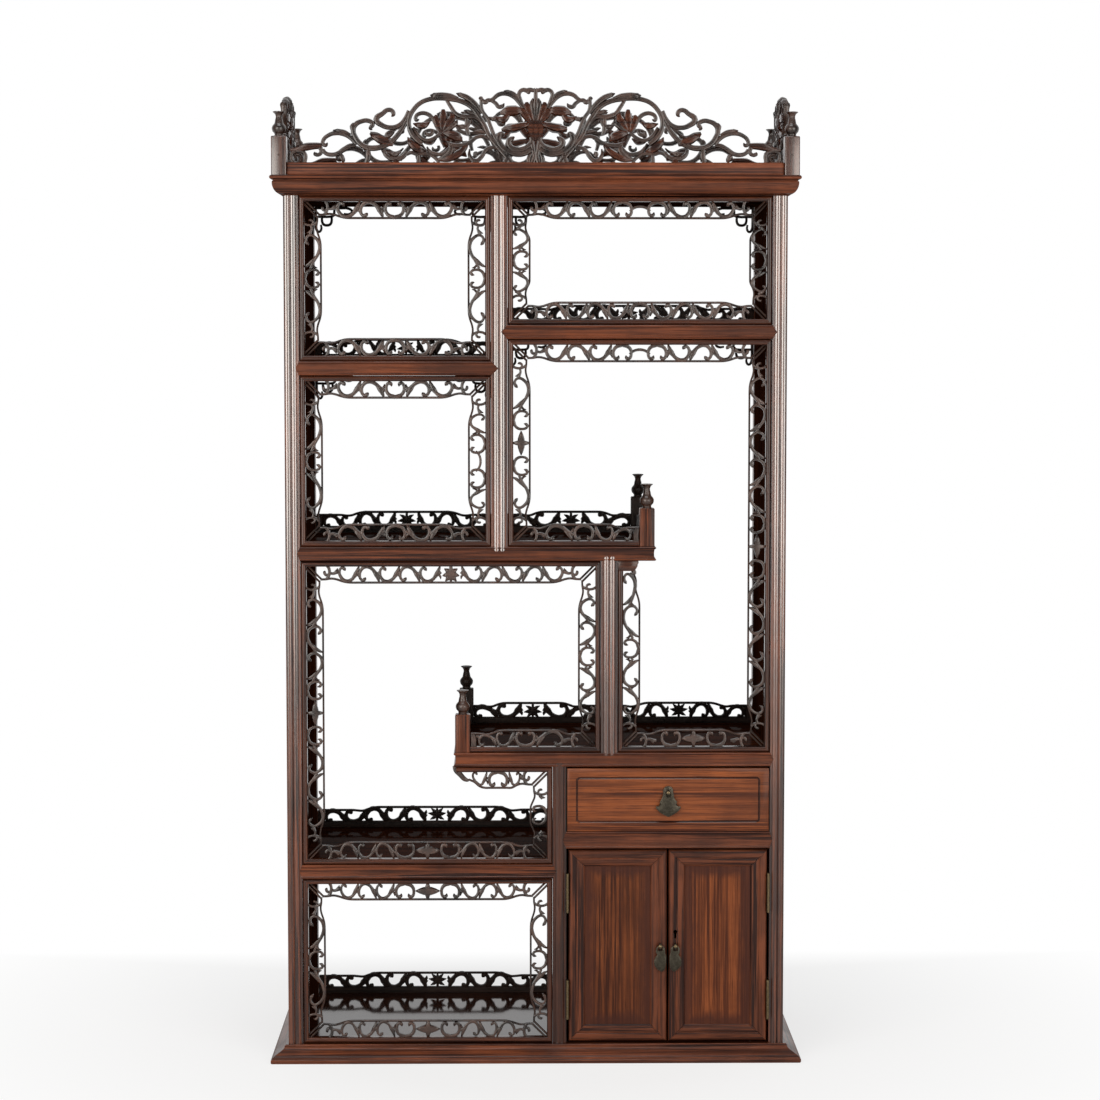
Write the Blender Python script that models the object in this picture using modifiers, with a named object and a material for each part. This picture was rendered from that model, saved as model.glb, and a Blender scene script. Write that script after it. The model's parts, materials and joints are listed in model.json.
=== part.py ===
"""Stepped display cabinet with pierced frets, a drawer, a two-door cupboard and a carved crown.

Metres, +Z up, front towards -Y, origin at the centre of the base's underside.
"""

import math

import bmesh
import bpy
from mathutils import Euler, Matrix, Vector

# Clearances
FIT_GAP = 0.0003
DRAWER_CLEARANCE = 0.001
DOOR_GAP = 0.0025
DOOR_MEETING_GAP = 0.002
WELD = 0.00001

# Carcass
CARCASS_WIDTH = 0.564
CARCASS_DEPTH = 0.260
STILE_WIDTH = 0.0165
STILE_DEPTH = 0.020
SIDE_PANEL_THICKNESS = 0.010
POST_WIDTH = 0.0185
LOWER_POST_WIDTH = 0.0155
PARTITION_THICKNESS = 0.008
REED_DEPTH = 0.002
FILLET_WIDTH = 0.0025
CUPBOARD_BACK_THICKNESS = 0.006
UPPER_POST_X = -0.041
MIDDLE_POST_X = 0.083
LOWER_POST_X = 0.0268

# Base and cornice
BASE_HEIGHT = 0.019
BASE_LIP_HEIGHT = 0.005
BASE_PROJECTION = 0.019
CORNICE_BOTTOM = 0.980
CORNICE_HEIGHT = 0.022
CORNICE_LIP_HEIGHT = 0.004
CORNICE_PROJECTION = 0.014
MOULDING_FOOT = 0.003

# Shelves, given by the height of their tops and the places of their free ends
SHELF_THICKNESS = 0.016
SHELF_NOSING = 0.0025
UPPER_LEFT_SHELF_TOP = 0.7954
UPPER_RIGHT_SHELF_TOP = 0.8362
MIDDLE_SHELF_TOP = 0.5868
STEPPED_SHELF_TOP = 0.3528
LOWER_LEFT_SHELF_TOP = 0.2248
DRAWER_RAIL_TOP = 0.2624
DRAWER_RAIL_HEIGHT = 0.0195
MIDDLE_SHELF_END_X = 0.136
STEPPED_SHELF_END_X = -0.0935

# Pierced frets
FRET_THICKNESS = 0.007
FRET_SETBACK = 0.0035
FRET_BEAD = 0.0065
FRET_INNER_BEAD = 0.0025
FRET_BAR = 0.0026
FRET_DEPTH = 0.0215
FRET_RISE = 0.005
FRET_RISE_RUN = 0.012
FRET_SHOULDER = 0.2
FRET_LEAST_RUN = 0.048
FRET_MITRE_BAR = 0.0035
FRET_END_BLOCK = 0.010
BRACKET_DROP = 0.010
BRACKET_LENGTH = 0.027
SCROLL_PITCH = 0.042
SCROLL_LEAN = 0.16
SCROLL_TAPER = 0.015
GALLERY_THICKNESS = 0.006
GALLERY_SETBACK = 0.004

# Crown
CROWN_POST_WIDTH = 0.017
CROWN_POST_HEIGHT = 0.043
FINIAL_HEIGHT = 0.028
FINIAL_RADIUS = 0.008
FINIAL_SIDES = 8
FINIAL_SINK = 0.0012
CROWN_POST_INSET = 0.002
STEP_POST_INSET = 0.002
PEDIMENT_RAIL = 0.014
PEDIMENT_HEIGHT = 0.0837
PEDIMENT_THICKNESS = 0.008
OVAL_SIDES = 6
OVAL_TURN = 0.2

# Drawer
DRAWER_FRONT_THICKNESS = 0.014
FRONT_RECESS = 0.001
DRAWER_SIDE = 0.007
DRAWER_FLOOR = 0.004
DRAWER_BOX_DROP = 0.008
DRAWER_BACK_CLEARANCE = 0.008
INLAY_MARGIN = 0.0135
INLAY_WIDTH = 0.0014
INLAY_DEPTH = 0.001

# Doors
DOOR_THICKNESS = 0.012
DOOR_FRAME_WIDTH = 0.0193
DOOR_PANEL_THICKNESS = 0.005
DOOR_GROOVE_DEPTH = 0.005
DOOR_OVOLO = 0.003
DOOR_SILL_GAP = 0.002
KEYHOLE_RADIUS = 0.0021
KEYHOLE_DROP = 0.007
KEYHOLE_ABOVE_PULL = 0.016

# Hinges
HINGE_HEIGHT = 0.045
HINGE_LEAF_DEPTH = 0.011
HINGE_LEAF_THICKNESS = 0.00075
HINGE_BARREL_RADIUS = 0.00175
HINGE_PIN_RADIUS = 0.0009
HINGE_INSET = 0.026
HINGE_SIDES = 8

# Pulls
EYE_RADIUS = 0.004
EYE_BORE = 0.0023
EYE_THICKNESS = 0.002
EYE_STANDOFF = 0.005
EYE_SHANK_HEIGHT = 0.003
PULL_THICKNESS = 0.0012
PULL_PLAY = 0.0004
DRAWER_PULL_WIDTH = 0.028
DRAWER_PULL_DROP = 0.028
DRAWER_PULL_ABOVE_CENTRE = 0.008
DRAWER_PLATE_WIDTH = 0.024
DRAWER_PLATE_HEIGHT = 0.026
DRAWER_PLATE_THICKNESS = 0.001
DOOR_PULL_WIDTH = 0.0142
DOOR_PULL_DROP = 0.029
DOOR_PULL_EDGE_GAP = 0.0006

# Planes and edges that follow from the driving dimensions
FRONT_Y = (BASE_PROJECTION - CARCASS_DEPTH) / 2
BACK_Y = FRONT_Y + CARCASS_DEPTH
OUTER_X = CARCASS_WIDTH / 2
INNER_X = OUTER_X - STILE_WIDTH
CORNICE_TOP = CORNICE_BOTTOM + CORNICE_HEIGHT
POST_BACK_Y = FRONT_Y + STILE_DEPTH
FRET_Y = FRONT_Y + FRET_SETBACK + FRET_THICKNESS / 2
GALLERY_Y = BACK_Y - GALLERY_SETBACK - GALLERY_THICKNESS / 2
LOWER_POST_LEFT = LOWER_POST_X - LOWER_POST_WIDTH / 2
LOWER_POST_RIGHT = LOWER_POST_X + LOWER_POST_WIDTH / 2
LOWER_PARTITION_LEFT = LOWER_POST_RIGHT - PARTITION_THICKNESS
DRAWER_RAIL_BOTTOM = DRAWER_RAIL_TOP - DRAWER_RAIL_HEIGHT
DOOR_FRONT_Y = FRONT_Y + FRONT_RECESS

# How a flat outline stands: its own x and y become these world axes
FLAT = Euler((0, 0, 0))
FACING_FRONT = Euler((math.pi / 2, 0, 0))
FACING_SIDE = Euler((math.pi / 2, 0, math.pi / 2))

# Finishes: colour, roughness and metallic value
DARK_WOOD = ((0.085, 0.034, 0.022), 0.38, 0.0)
STILE_WOOD = ((0.115, 0.055, 0.038), 0.35, 0.0)
FRET_WOOD = ((0.080, 0.036, 0.024), 0.45, 0.0)
PANEL_WOOD = ((0.170, 0.068, 0.032), 0.36, 0.0)
PALE_WOOD = ((0.330, 0.190, 0.100), 0.60, 0.0)
BRONZE = ((0.130, 0.110, 0.075), 0.40, 1.0)
BRASS = ((0.380, 0.270, 0.120), 0.35, 1.0)

# One scroll hole in a cell that reaches from -1 to 1: it curls round a tendril from the lower left
SCROLL_SHAPE = [
    (-0.45, -1.0),
    (0.85, -0.8),
    (0.8, 0.9),
    (-0.6, 1.0),
    (-1.0, -0.1),
    (-0.2, 0.42),
    (0.35, -0.3),
]

# Half of the pediment from its end to the middle: shares of its half length and of its rise
PEDIMENT_EDGE = [
    (1.0, 0.155),
    (0.935, 0.155),
    (0.925, 0.26),
    (0.86, 0.26),
    (0.84, 0.36),
    (0.80, 0.43),
    (0.76, 0.40),
    (0.74, 0.33),
    (0.715, 0.51),
    (0.67, 0.56),
    (0.645, 0.50),
    (0.61, 0.67),
    (0.575, 0.70),
    (0.535, 0.61),
    (0.50, 0.57),
    (0.46, 0.75),
    (0.41, 0.87),
    (0.33, 0.92),
    (0.25, 0.80),
    (0.195, 0.66),
    (0.165, 0.86),
    (0.125, 0.95),
    (0.085, 0.88),
    (0.065, 0.82),
    (0.05, 0.96),
    (0.02, 1.0),
]

# Pediment holes: place along the half, height, half width and half height, in the same shares
PEDIMENT_SCROLLS = [
    (0.80, 0.28, 0.040, 0.072),
    (0.69, 0.17, 0.040, 0.115),
    (0.685, 0.42, 0.032, 0.080),
    (0.587, 0.545, 0.036, 0.085),
    (0.587, 0.325, 0.045, 0.090),
    (0.372, 0.62, 0.070, 0.170),
    (0.41, 0.185, 0.060, 0.140),
    (0.285, 0.23, 0.045, 0.170),
    (0.148, 0.40, 0.058, 0.190),
    (0.127, 0.755, 0.030, 0.120),
]
PEDIMENT_OVALS = [
    (0.89, 0.10, 0.036, 0.070),
    (0.79, 0.10, 0.044, 0.055),
    (0.585, 0.11, 0.046, 0.065),
    (0.50, 0.33, 0.022, 0.140),
    (0.255, 0.57, 0.030, 0.120),
    (0.13, 0.10, 0.070, 0.060),
    (0.036, 0.48, 0.022, 0.260),
    (0.034, 0.87, 0.014, 0.070),
]

# Half of a side gable, in the same shares
GABLE_EDGE = [
    (1.0, 0.155),
    (0.88, 0.155),
    (0.86, 0.30),
    (0.76, 0.43),
    (0.66, 0.36),
    (0.60, 0.56),
    (0.49, 0.66),
    (0.38, 0.58),
    (0.33, 0.78),
    (0.21, 0.91),
    (0.11, 0.84),
    (0.06, 0.97),
    (0.02, 1.0),
]
GABLE_SCROLLS = [
    (0.755, 0.25, 0.075, 0.085),
    (0.50, 0.44, 0.080, 0.115),
    (0.225, 0.66, 0.075, 0.125),
    (0.25, 0.28, 0.110, 0.180),
]
GABLE_OVALS = [
    (0.53, 0.16, 0.110, 0.090),
    (0.06, 0.55, 0.035, 0.250),
]

# Turned finial, from its foot up: shares of its radius and of its height
FINIAL_PROFILE = [
    (0.70, 0.0),
    (0.70, 0.10),
    (0.45, 0.16),
    (1.0, 0.34),
    (0.62, 0.50),
    (0.36, 0.66),
    (0.50, 0.82),
    (0.84, 0.92),
    (0.60, 1.0),
]

# Drop plate of the drawer pull: shares of its half width and of its drop below the eye
DRAWER_PULL_EDGE = [
    (0.26, -0.05),
    (0.40, 0.20),
    (0.62, 0.45),
    (0.70, 0.66),
    (1.0, 0.74),
    (0.80, 0.82),
    (0.46, 0.90),
    (0.14, 1.0),
]
DOOR_PULL_EDGE = [
    (0.45, -0.05),
    (0.66, 0.12),
    (0.60, 0.34),
    (0.92, 0.52),
    (1.0, 0.72),
    (0.72, 0.90),
    (0.30, 1.0),
]


def clear_scene():
    """Remove what the scene holds."""
    for leftover in list(bpy.data.objects):
        bpy.data.objects.remove(leftover, do_unlink=True)


def new_collection(name):
    """A collection linked to the scene."""
    collection = bpy.data.collections.new(name)
    bpy.context.scene.collection.children.link(collection)
    return collection


def finish(part, look):
    """Give a part its own Principled material."""
    colour, roughness, metallic = look
    material = bpy.data.materials.new(part.name + "_finish")
    material.use_nodes = True
    shader = material.node_tree.nodes["Principled BSDF"]
    shader.inputs["Base Color"].default_value = (*colour, 1.0)
    shader.inputs["Roughness"].default_value = roughness
    shader.inputs["Metallic"].default_value = metallic
    part.data.materials.clear()
    part.data.materials.append(material)


def add_part(name, data, look, place=(0, 0, 0), turn=FLAT):
    """A named object in the cabinet's collection."""
    part = bpy.data.objects.new(name, data)
    part.location = place
    part.rotation_euler = turn
    PARTS.objects.link(part)
    finish(part, look)
    return part


def add_tool(name, data, place=(0, 0, 0), turn=FLAT):
    """A shape that only cuts or joins others."""
    tool = bpy.data.objects.new(name, data)
    tool.location = place
    tool.rotation_euler = turn
    tool.hide_render = True
    tool.display_type = "WIRE"
    CUTTERS.objects.link(tool)
    return tool


def combine(part, tool, operation):
    """Cut a part by a tool, or join the tool to it."""
    modifier = part.modifiers.new(operation.lower() + "_" + tool.name, "BOOLEAN")
    modifier.operation = operation
    modifier.solver = "EXACT"
    modifier.object = tool


def box_mesh(name, low, high):
    """A box between two corners."""
    low = Vector(low)
    size = Vector(high) - low
    shape = bmesh.new()
    stretch = Matrix.Translation(low + size / 2) @ Matrix.Diagonal((*size, 1))
    bmesh.ops.create_cube(shape, size=1, matrix=stretch)
    mesh = bpy.data.meshes.new(name)
    shape.to_mesh(mesh)
    shape.free()
    return mesh


def cylinder_mesh(name, radius, height, sides):
    """An upright cylinder round the origin."""
    shape = bmesh.new()
    bmesh.ops.create_cone(
        shape, cap_ends=True, segments=sides, radius1=radius, radius2=radius, depth=height
    )
    mesh = bpy.data.meshes.new(name)
    shape.to_mesh(mesh)
    shape.free()
    return mesh


def outline_curve(name, outlines, thickness):
    """A flat board with holes: nested closed outlines, filled on both faces."""
    curve = bpy.data.curves.new(name, "CURVE")
    curve.dimensions = "2D"
    curve.fill_mode = "BOTH"
    curve.extrude = thickness / 2
    for outline in outlines:
        spline = curve.splines.new("POLY")
        spline.points.add(len(outline) - 1)
        for point, (x, y) in zip(spline.points, outline):
            point.co = (x, y, 0, 1)
        spline.use_cyclic_u = True
    return curve


def outline_mesh(name, outlines, thickness):
    """The same board as a mesh that can be cut or joined."""
    guide = bpy.data.objects.new(name + "_guide", outline_curve(name, outlines, thickness))
    CUTTERS.objects.link(guide)
    evaluated = guide.evaluated_get(bpy.context.evaluated_depsgraph_get())
    mesh = bpy.data.meshes.new_from_object(evaluated)
    bpy.data.objects.remove(guide, do_unlink=True)
    shape = bmesh.new()
    shape.from_mesh(mesh)
    bmesh.ops.remove_doubles(shape, verts=shape.verts, dist=WELD)
    bmesh.ops.recalc_face_normals(shape, faces=shape.faces)
    shape.to_mesh(mesh)
    shape.free()
    return mesh


def moulded_slab(name, bottom, levels, look):
    """A board whose front and ends step in and out by level; its back stays flat."""
    shape = bmesh.new()
    bmesh.ops.create_grid(shape, x_segments=1, y_segments=1, size=0.5)
    shape.faces.ensure_lookup_table()
    top = shape.faces[0]
    for index, (height, projection) in enumerate(levels):
        if index:
            extruded = bmesh.ops.extrude_face_region(shape, geom=[top])
            if index > 1:
                bmesh.ops.delete(shape, geom=[top], context="FACES_ONLY")
            top = [item for item in extruded["geom"] if isinstance(item, bmesh.types.BMFace)][0]
        for corner in top.verts:
            side = 1 if corner.co.x > 0 else -1
            behind = corner.co.y > 0
            corner.co.x = side * (OUTER_X + projection)
            corner.co.y = CARCASS_DEPTH / 2 if behind else -CARCASS_DEPTH / 2 - projection
            corner.co.z = height
    bmesh.ops.recalc_face_normals(shape, faces=shape.faces)
    mesh = bpy.data.meshes.new(name)
    shape.to_mesh(mesh)
    shape.free()
    return add_part(name, mesh, look, (0, (FRONT_Y + BACK_Y) / 2, bottom))


def ogee_levels(start, end, foot, projection, steps):
    """Heights and projections of an S-shaped moulding between two levels."""
    levels = []
    for step in range(steps + 1):
        share = step / steps
        sweep = (1 - math.cos(math.pi * share)) / 2
        levels.append((start + (end - start) * share, foot + (projection - foot) * sweep))
    return levels


def make_base():
    """Flared plinth with a flat lip at the floor."""
    levels = [(0, BASE_PROJECTION), (BASE_LIP_HEIGHT, BASE_PROJECTION)]
    sweep = ogee_levels(BASE_LIP_HEIGHT, BASE_HEIGHT, BASE_PROJECTION, MOULDING_FOOT, 6)
    moulded_slab("base_plinth", 0, levels + sweep[1:], DARK_WOOD)


def make_cornice():
    """Cornice that swells out under a flat lip."""
    lip = CORNICE_HEIGHT - CORNICE_LIP_HEIGHT
    sweep = ogee_levels(0, lip, MOULDING_FOOT, CORNICE_PROJECTION, 6)
    levels = sweep + [(CORNICE_HEIGHT, CORNICE_PROJECTION)]
    moulded_slab("cornice", CORNICE_BOTTOM, levels, DARK_WOOD)


def reeded_edge(left, right, reeds, fillet_left, fillet_right):
    """Front edge of a stile or post in plan: half-round reeds between flat fillets."""
    edge = [(left, FRONT_Y + REED_DEPTH / 2)] if fillet_left else []
    start = left + fillet_left
    width = (right - fillet_right - start) / reeds
    arc_steps = 4
    for reed in range(reeds):
        for step in range(arc_steps + 1):
            angle = math.pi * step / arc_steps
            x = start + width * (reed + (1 - math.cos(angle)) / 2)
            y = FRONT_Y + REED_DEPTH * (1 - math.sin(angle))
            if step or not reed:
                edge.append((x, y))
    if fillet_right:
        edge.append((right, FRONT_Y + REED_DEPTH / 2))
    return edge


def upright(name, outline, bottom, top, look):
    """A plan outline drawn up between two heights."""
    height = top - bottom - 2 * FIT_GAP
    mesh = outline_mesh(name, [outline], height)
    return add_part(name, mesh, look, (0, 0, (bottom + top) / 2))


def make_sides():
    """Front and back stiles with a panel between them, at both ends."""
    for word, side in (("left", -1), ("right", 1)):
        outer = side * OUTER_X
        inner = side * INNER_X
        left, right = min(outer, inner), max(outer, inner)
        fillets = (0, FILLET_WIDTH) if side < 0 else (FILLET_WIDTH, 0)
        front = reeded_edge(left, right, 2, *fillets)
        front = front + [(right, POST_BACK_Y), (left, POST_BACK_Y)]
        upright(word + "_front_stile", front, BASE_HEIGHT, CORNICE_BOTTOM, STILE_WOOD)
        rear_y = BACK_Y - STILE_DEPTH
        rear = [(left, rear_y), (right, rear_y), (right, BACK_Y), (left, BACK_Y)]
        upright(word + "_back_stile", rear, BASE_HEIGHT, CORNICE_BOTTOM, STILE_WOOD)
        panel_edge = inner + side * SIDE_PANEL_THICKNESS
        low = (min(inner, panel_edge), POST_BACK_Y + FIT_GAP, BASE_HEIGHT + FIT_GAP)
        high = (max(inner, panel_edge), rear_y - FIT_GAP, CORNICE_BOTTOM - FIT_GAP)
        add_part(word + "_side_panel", box_mesh(word + "_side_panel", low, high), DARK_WOOD)


def divider(name, left, right, partition_left, bottom, top, reeds):
    """A reeded post and the partition board behind it, in one plan outline."""
    partition_right = partition_left + PARTITION_THICKNESS
    outline = reeded_edge(left, right, reeds, FILLET_WIDTH, FILLET_WIDTH)
    outline.append((right, POST_BACK_Y))
    if partition_right < right:
        outline.append((partition_right, POST_BACK_Y))
    outline += [(partition_right, BACK_Y), (partition_left, BACK_Y)]
    outline += [(partition_left, POST_BACK_Y), (left, POST_BACK_Y)]
    return upright(name, outline, bottom, top, STILE_WOOD)


def make_dividers():
    """The three uprights between the cells."""
    for name, middle, bottom, top in (
        ("upper_divider", UPPER_POST_X, MIDDLE_SHELF_TOP, CORNICE_BOTTOM),
        ("middle_divider", MIDDLE_POST_X, STEPPED_SHELF_TOP, MIDDLE_SHELF_TOP - SHELF_THICKNESS),
    ):
        partition = middle - PARTITION_THICKNESS / 2
        divider(name, middle - POST_WIDTH / 2, middle + POST_WIDTH / 2, partition, bottom, top, 2)
    divider(
        "lower_divider",
        LOWER_POST_LEFT,
        LOWER_POST_RIGHT,
        LOWER_PARTITION_LEFT,
        BASE_HEIGHT,
        STEPPED_SHELF_TOP - SHELF_THICKNESS,
        1,
    )


def shelf(name, left, right, top, thickness, back=BACK_Y):
    """A board with a rounded front edge, drawn along X from its section."""
    bottom = top - thickness
    middle = (top + bottom) / 2
    section = [(back, top), (FRONT_Y + SHELF_NOSING, top)]
    arc_steps = 6
    for step in range(1, arc_steps):
        angle = math.pi * step / arc_steps
        y = FRONT_Y + SHELF_NOSING * (1 - math.sin(angle))
        section.append((y, middle + thickness / 2 * math.cos(angle)))
    section += [(FRONT_Y + SHELF_NOSING, bottom), (back, bottom)]
    mesh = outline_mesh(name, [section], right - left - 2 * FIT_GAP)
    return add_part(name, mesh, DARK_WOOD, ((left + right) / 2, 0, 0), FACING_SIDE)


def notch_for_post(board, left, right, top):
    """Cut the corner of a shelf that a post stands in."""
    low = (left - FIT_GAP, FRONT_Y - SHELF_THICKNESS, top - 2 * SHELF_THICKNESS)
    high = (right + FIT_GAP, POST_BACK_Y + FIT_GAP, top + SHELF_THICKNESS)
    name = board.name + "_notch"
    combine(board, add_tool(name, box_mesh(name, low, high)), "DIFFERENCE")


def make_shelves():
    """Five shelves and the rail under the drawer."""
    upper_left = UPPER_POST_X - POST_WIDTH / 2
    upper_right = UPPER_POST_X + POST_WIDTH / 2
    half_partition = PARTITION_THICKNESS / 2
    for name, left, right, top in (
        ("upper_left_shelf", -INNER_X, UPPER_POST_X - half_partition, UPPER_LEFT_SHELF_TOP),
        ("upper_right_shelf", UPPER_POST_X + half_partition, INNER_X, UPPER_RIGHT_SHELF_TOP),
    ):
        board = shelf(name, left, right, top, SHELF_THICKNESS)
        notch_for_post(board, upper_left, upper_right, top)
    shelf("middle_shelf", -INNER_X, MIDDLE_SHELF_END_X, MIDDLE_SHELF_TOP, SHELF_THICKNESS)
    shelf("stepped_shelf", STEPPED_SHELF_END_X, INNER_X, STEPPED_SHELF_TOP, SHELF_THICKNESS)
    board = shelf(
        "lower_left_shelf", -INNER_X, LOWER_PARTITION_LEFT, LOWER_LEFT_SHELF_TOP, SHELF_THICKNESS
    )
    notch_for_post(board, LOWER_POST_LEFT, LOWER_POST_RIGHT, LOWER_LEFT_SHELF_TOP)
    inner_back = BACK_Y - CUPBOARD_BACK_THICKNESS - FIT_GAP
    shelf("drawer_rail", LOWER_POST_RIGHT, INNER_X, DRAWER_RAIL_TOP, DRAWER_RAIL_HEIGHT, inner_back)
    low = (LOWER_POST_RIGHT + FIT_GAP, BACK_Y - CUPBOARD_BACK_THICKNESS, BASE_HEIGHT + FIT_GAP)
    high = (INNER_X - FIT_GAP, BACK_Y, STEPPED_SHELF_TOP - SHELF_THICKNESS - FIT_GAP)
    add_part("cupboard_back", box_mesh("cupboard_back", low, high), DARK_WOOD)


def fret_sides(corners, closed):
    """The straight sides of a fret, each with its direction, inward normal and end kinds."""
    count = len(corners) if closed else len(corners) - 1
    for index in range(count):
        start = Vector(corners[index])
        run = Vector(corners[(index + 1) % len(corners)]) - start
        along = run.normalized()
        inward = Vector((-along.y, along.x))
        from_corner = closed or index > 0
        to_corner = closed or index < count - 1
        yield start, along, inward, run.length, from_corner, to_corner


def fret_depth_at(place, length, lead_in, lead_out):
    """Depth of a fret band: it deepens in a smooth step over its middle."""
    run = length - lead_in - lead_out
    if run < FRET_LEAST_RUN:
        return FRET_DEPTH
    shoulder = lead_in + run * FRET_SHOULDER
    reach = min(place, length + lead_in - lead_out - place) - shoulder
    share = min(max(reach / FRET_RISE_RUN + 0.5, 0), 1)
    return FRET_DEPTH + FRET_RISE * (1 - math.cos(math.pi * share)) / 2


def fret_inner_edge(length, from_corner, to_corner, lead_in, lead_out):
    """Inner edge of one side, as places along it and depths."""
    short = length < lead_in + lead_out
    free_depth = BRACKET_DROP if short else FRET_DEPTH
    edge = [(FRET_DEPTH, FRET_DEPTH) if from_corner else (0, free_depth)]
    run = length - lead_in - lead_out
    if run >= FRET_LEAST_RUN:
        shoulder = lead_in + run * FRET_SHOULDER
        rise = [shoulder + FRET_RISE_RUN * (step / 2 - 0.5) for step in range(3)]
        fall = [length + lead_in - lead_out - place for place in reversed(rise)]
        for place in rise + fall:
            edge.append((place, fret_depth_at(place, length, lead_in, lead_out)))
    if not to_corner:
        edge.append((length, free_depth))
    return edge


def scroll_hole(place, depth, half_width, half_height, mirror, flip):
    """One scroll-shaped hole, leaning so that its neighbour fits against it."""
    hole = []
    for x, y in SCROLL_SHAPE:
        lean = 1 + SCROLL_LEAN * (y - 1)
        hole.append((place + mirror * half_width * x * lean, depth + flip * half_height * y))
    return hole


def fret_scrolls(length, lead_in, lead_out):
    """Scroll holes along one side, alternately turned and mirrored about its middle."""
    run = length - lead_in - lead_out
    count = round(run / SCROLL_PITCH)
    holes = []
    for index in range(count):
        cell = run / count
        place = lead_in + cell * (index + 0.5)
        half_width = (cell - FRET_BAR) / 2
        ends = (place - half_width, place + half_width)
        depth = min(fret_depth_at(end, length, lead_in, lead_out) for end in ends)
        room = depth - FRET_BEAD - FRET_INNER_BEAD
        from_end = min(index, count - 1 - index)
        half_height = room / 2 * (1 - SCROLL_TAPER * from_end)
        mirror = 1 if index < count / 2 else -1
        flip = -1 if from_end % 2 else 1
        holes.append(scroll_hole(place, FRET_BEAD + room / 2, half_width, half_height, mirror, flip))
    return holes


def corner_holes(corner, back, onward):
    """Two three-sided holes beside the diagonal bar of a corner."""
    far = FRET_DEPTH - FRET_INNER_BEAD
    triangle = [(FRET_BEAD + FRET_MITRE_BAR, FRET_BEAD), (far, FRET_BEAD), (far, far - FRET_MITRE_BAR)]
    holes = []
    for first, second in ((back, onward), (onward, back)):
        holes.append([corner + first * a + second * b for a, b in triangle])
    return holes


def fret_outlines(corners, closed):
    """All outlines of a fret that follows a path with its cell on the left."""
    inner_edge = []
    holes = []
    for start, along, inward, length, from_corner, to_corner in fret_sides(corners, closed):
        lead_in = FRET_DEPTH if from_corner else FRET_END_BLOCK
        lead_out = FRET_DEPTH if to_corner else FRET_END_BLOCK
        for place, depth in fret_inner_edge(length, from_corner, to_corner, lead_in, lead_out):
            inner_edge.append(start + along * place + inward * depth)
        for hole in fret_scrolls(length, lead_in, lead_out):
            holes.append([start + along * place + inward * depth for place, depth in hole])
        if to_corner:
            holes += corner_holes(start + along * length, -along, inward)
    if closed:
        return [corners, inner_edge] + holes
    return [corners + inner_edge[::-1]] + holes


def rectangle(left, right, bottom, top):
    """Corners of a cell, clear of the members round it, with the cell on the left of the path."""
    left, right = left + FIT_GAP, right - FIT_GAP
    bottom, top = bottom + FIT_GAP, top - FIT_GAP
    return [(left, bottom), (right, bottom), (right, top), (left, top)]


def make_frets():
    """A pierced frame round each open cell."""
    upper_left = UPPER_POST_X - POST_WIDTH / 2
    upper_right = UPPER_POST_X + POST_WIDTH / 2
    middle_left = MIDDLE_POST_X - POST_WIDTH / 2 - FIT_GAP
    middle_right = MIDDLE_POST_X + POST_WIDTH / 2 + FIT_GAP
    under_middle = MIDDLE_SHELF_TOP - SHELF_THICKNESS - FIT_GAP
    on_middle = MIDDLE_SHELF_TOP + FIT_GAP
    under_stepped = STEPPED_SHELF_TOP - SHELF_THICKNESS - FIT_GAP
    on_stepped = STEPPED_SHELF_TOP + FIT_GAP
    under_upper_right = UPPER_RIGHT_SHELF_TOP - SHELF_THICKNESS - FIT_GAP
    tall_right = [
        (middle_right + BRACKET_LENGTH, under_middle),
        (middle_right, under_middle),
        (middle_right, on_stepped),
        (INNER_X - FIT_GAP, on_stepped),
        (INNER_X - FIT_GAP, under_upper_right),
        (upper_right + FIT_GAP, under_upper_right),
        (upper_right + FIT_GAP, on_middle),
        (step_post_x("middle") - CROWN_POST_WIDTH / 2 - FIT_GAP, on_middle),
    ]
    wide_left = [
        (step_post_x("stepped") + CROWN_POST_WIDTH / 2 + FIT_GAP, on_stepped),
        (middle_left, on_stepped),
        (middle_left, under_middle),
        (-INNER_X + FIT_GAP, under_middle),
        (-INNER_X + FIT_GAP, LOWER_LEFT_SHELF_TOP + FIT_GAP),
        (LOWER_POST_LEFT - FIT_GAP, LOWER_LEFT_SHELF_TOP + FIT_GAP),
        (LOWER_POST_LEFT - FIT_GAP, under_stepped),
        (step_post_x("stepped"), under_stepped),
    ]
    under_upper_left = UPPER_LEFT_SHELF_TOP - SHELF_THICKNESS
    under_lower_left = LOWER_LEFT_SHELF_TOP - SHELF_THICKNESS
    for name, corners, closed in (
        ("upper_left_fret", rectangle(-INNER_X, upper_left, UPPER_LEFT_SHELF_TOP, CORNICE_BOTTOM), True),
        ("second_left_fret", rectangle(-INNER_X, upper_left, MIDDLE_SHELF_TOP, under_upper_left), True),
        ("upper_right_fret", rectangle(upper_right, INNER_X, UPPER_RIGHT_SHELF_TOP, CORNICE_BOTTOM), True),
        ("lower_left_fret", rectangle(-INNER_X, LOWER_POST_LEFT, BASE_HEIGHT, under_lower_left), True),
        ("tall_right_fret", tall_right, False),
        ("wide_left_fret", wide_left, False),
    ):
        mesh = outline_mesh(name, fret_outlines(corners, closed), FRET_THICKNESS)
        add_part(name, mesh, FRET_WOOD, (0, FRET_Y, 0), FACING_FRONT)


def step_post_x(shelf_name):
    """Middle of the post on the free end of a stepped shelf."""
    from_end = STEP_POST_INSET + CROWN_POST_WIDTH / 2
    if shelf_name == "middle":
        return MIDDLE_SHELF_END_X - from_end
    return STEPPED_SHELF_END_X + from_end


def gallery_outlines(start, end, bottom):
    """A straight length of fret that stands on a shelf."""
    return fret_outlines([(start, bottom + FIT_GAP), (end, bottom + FIT_GAP)], False)


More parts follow.
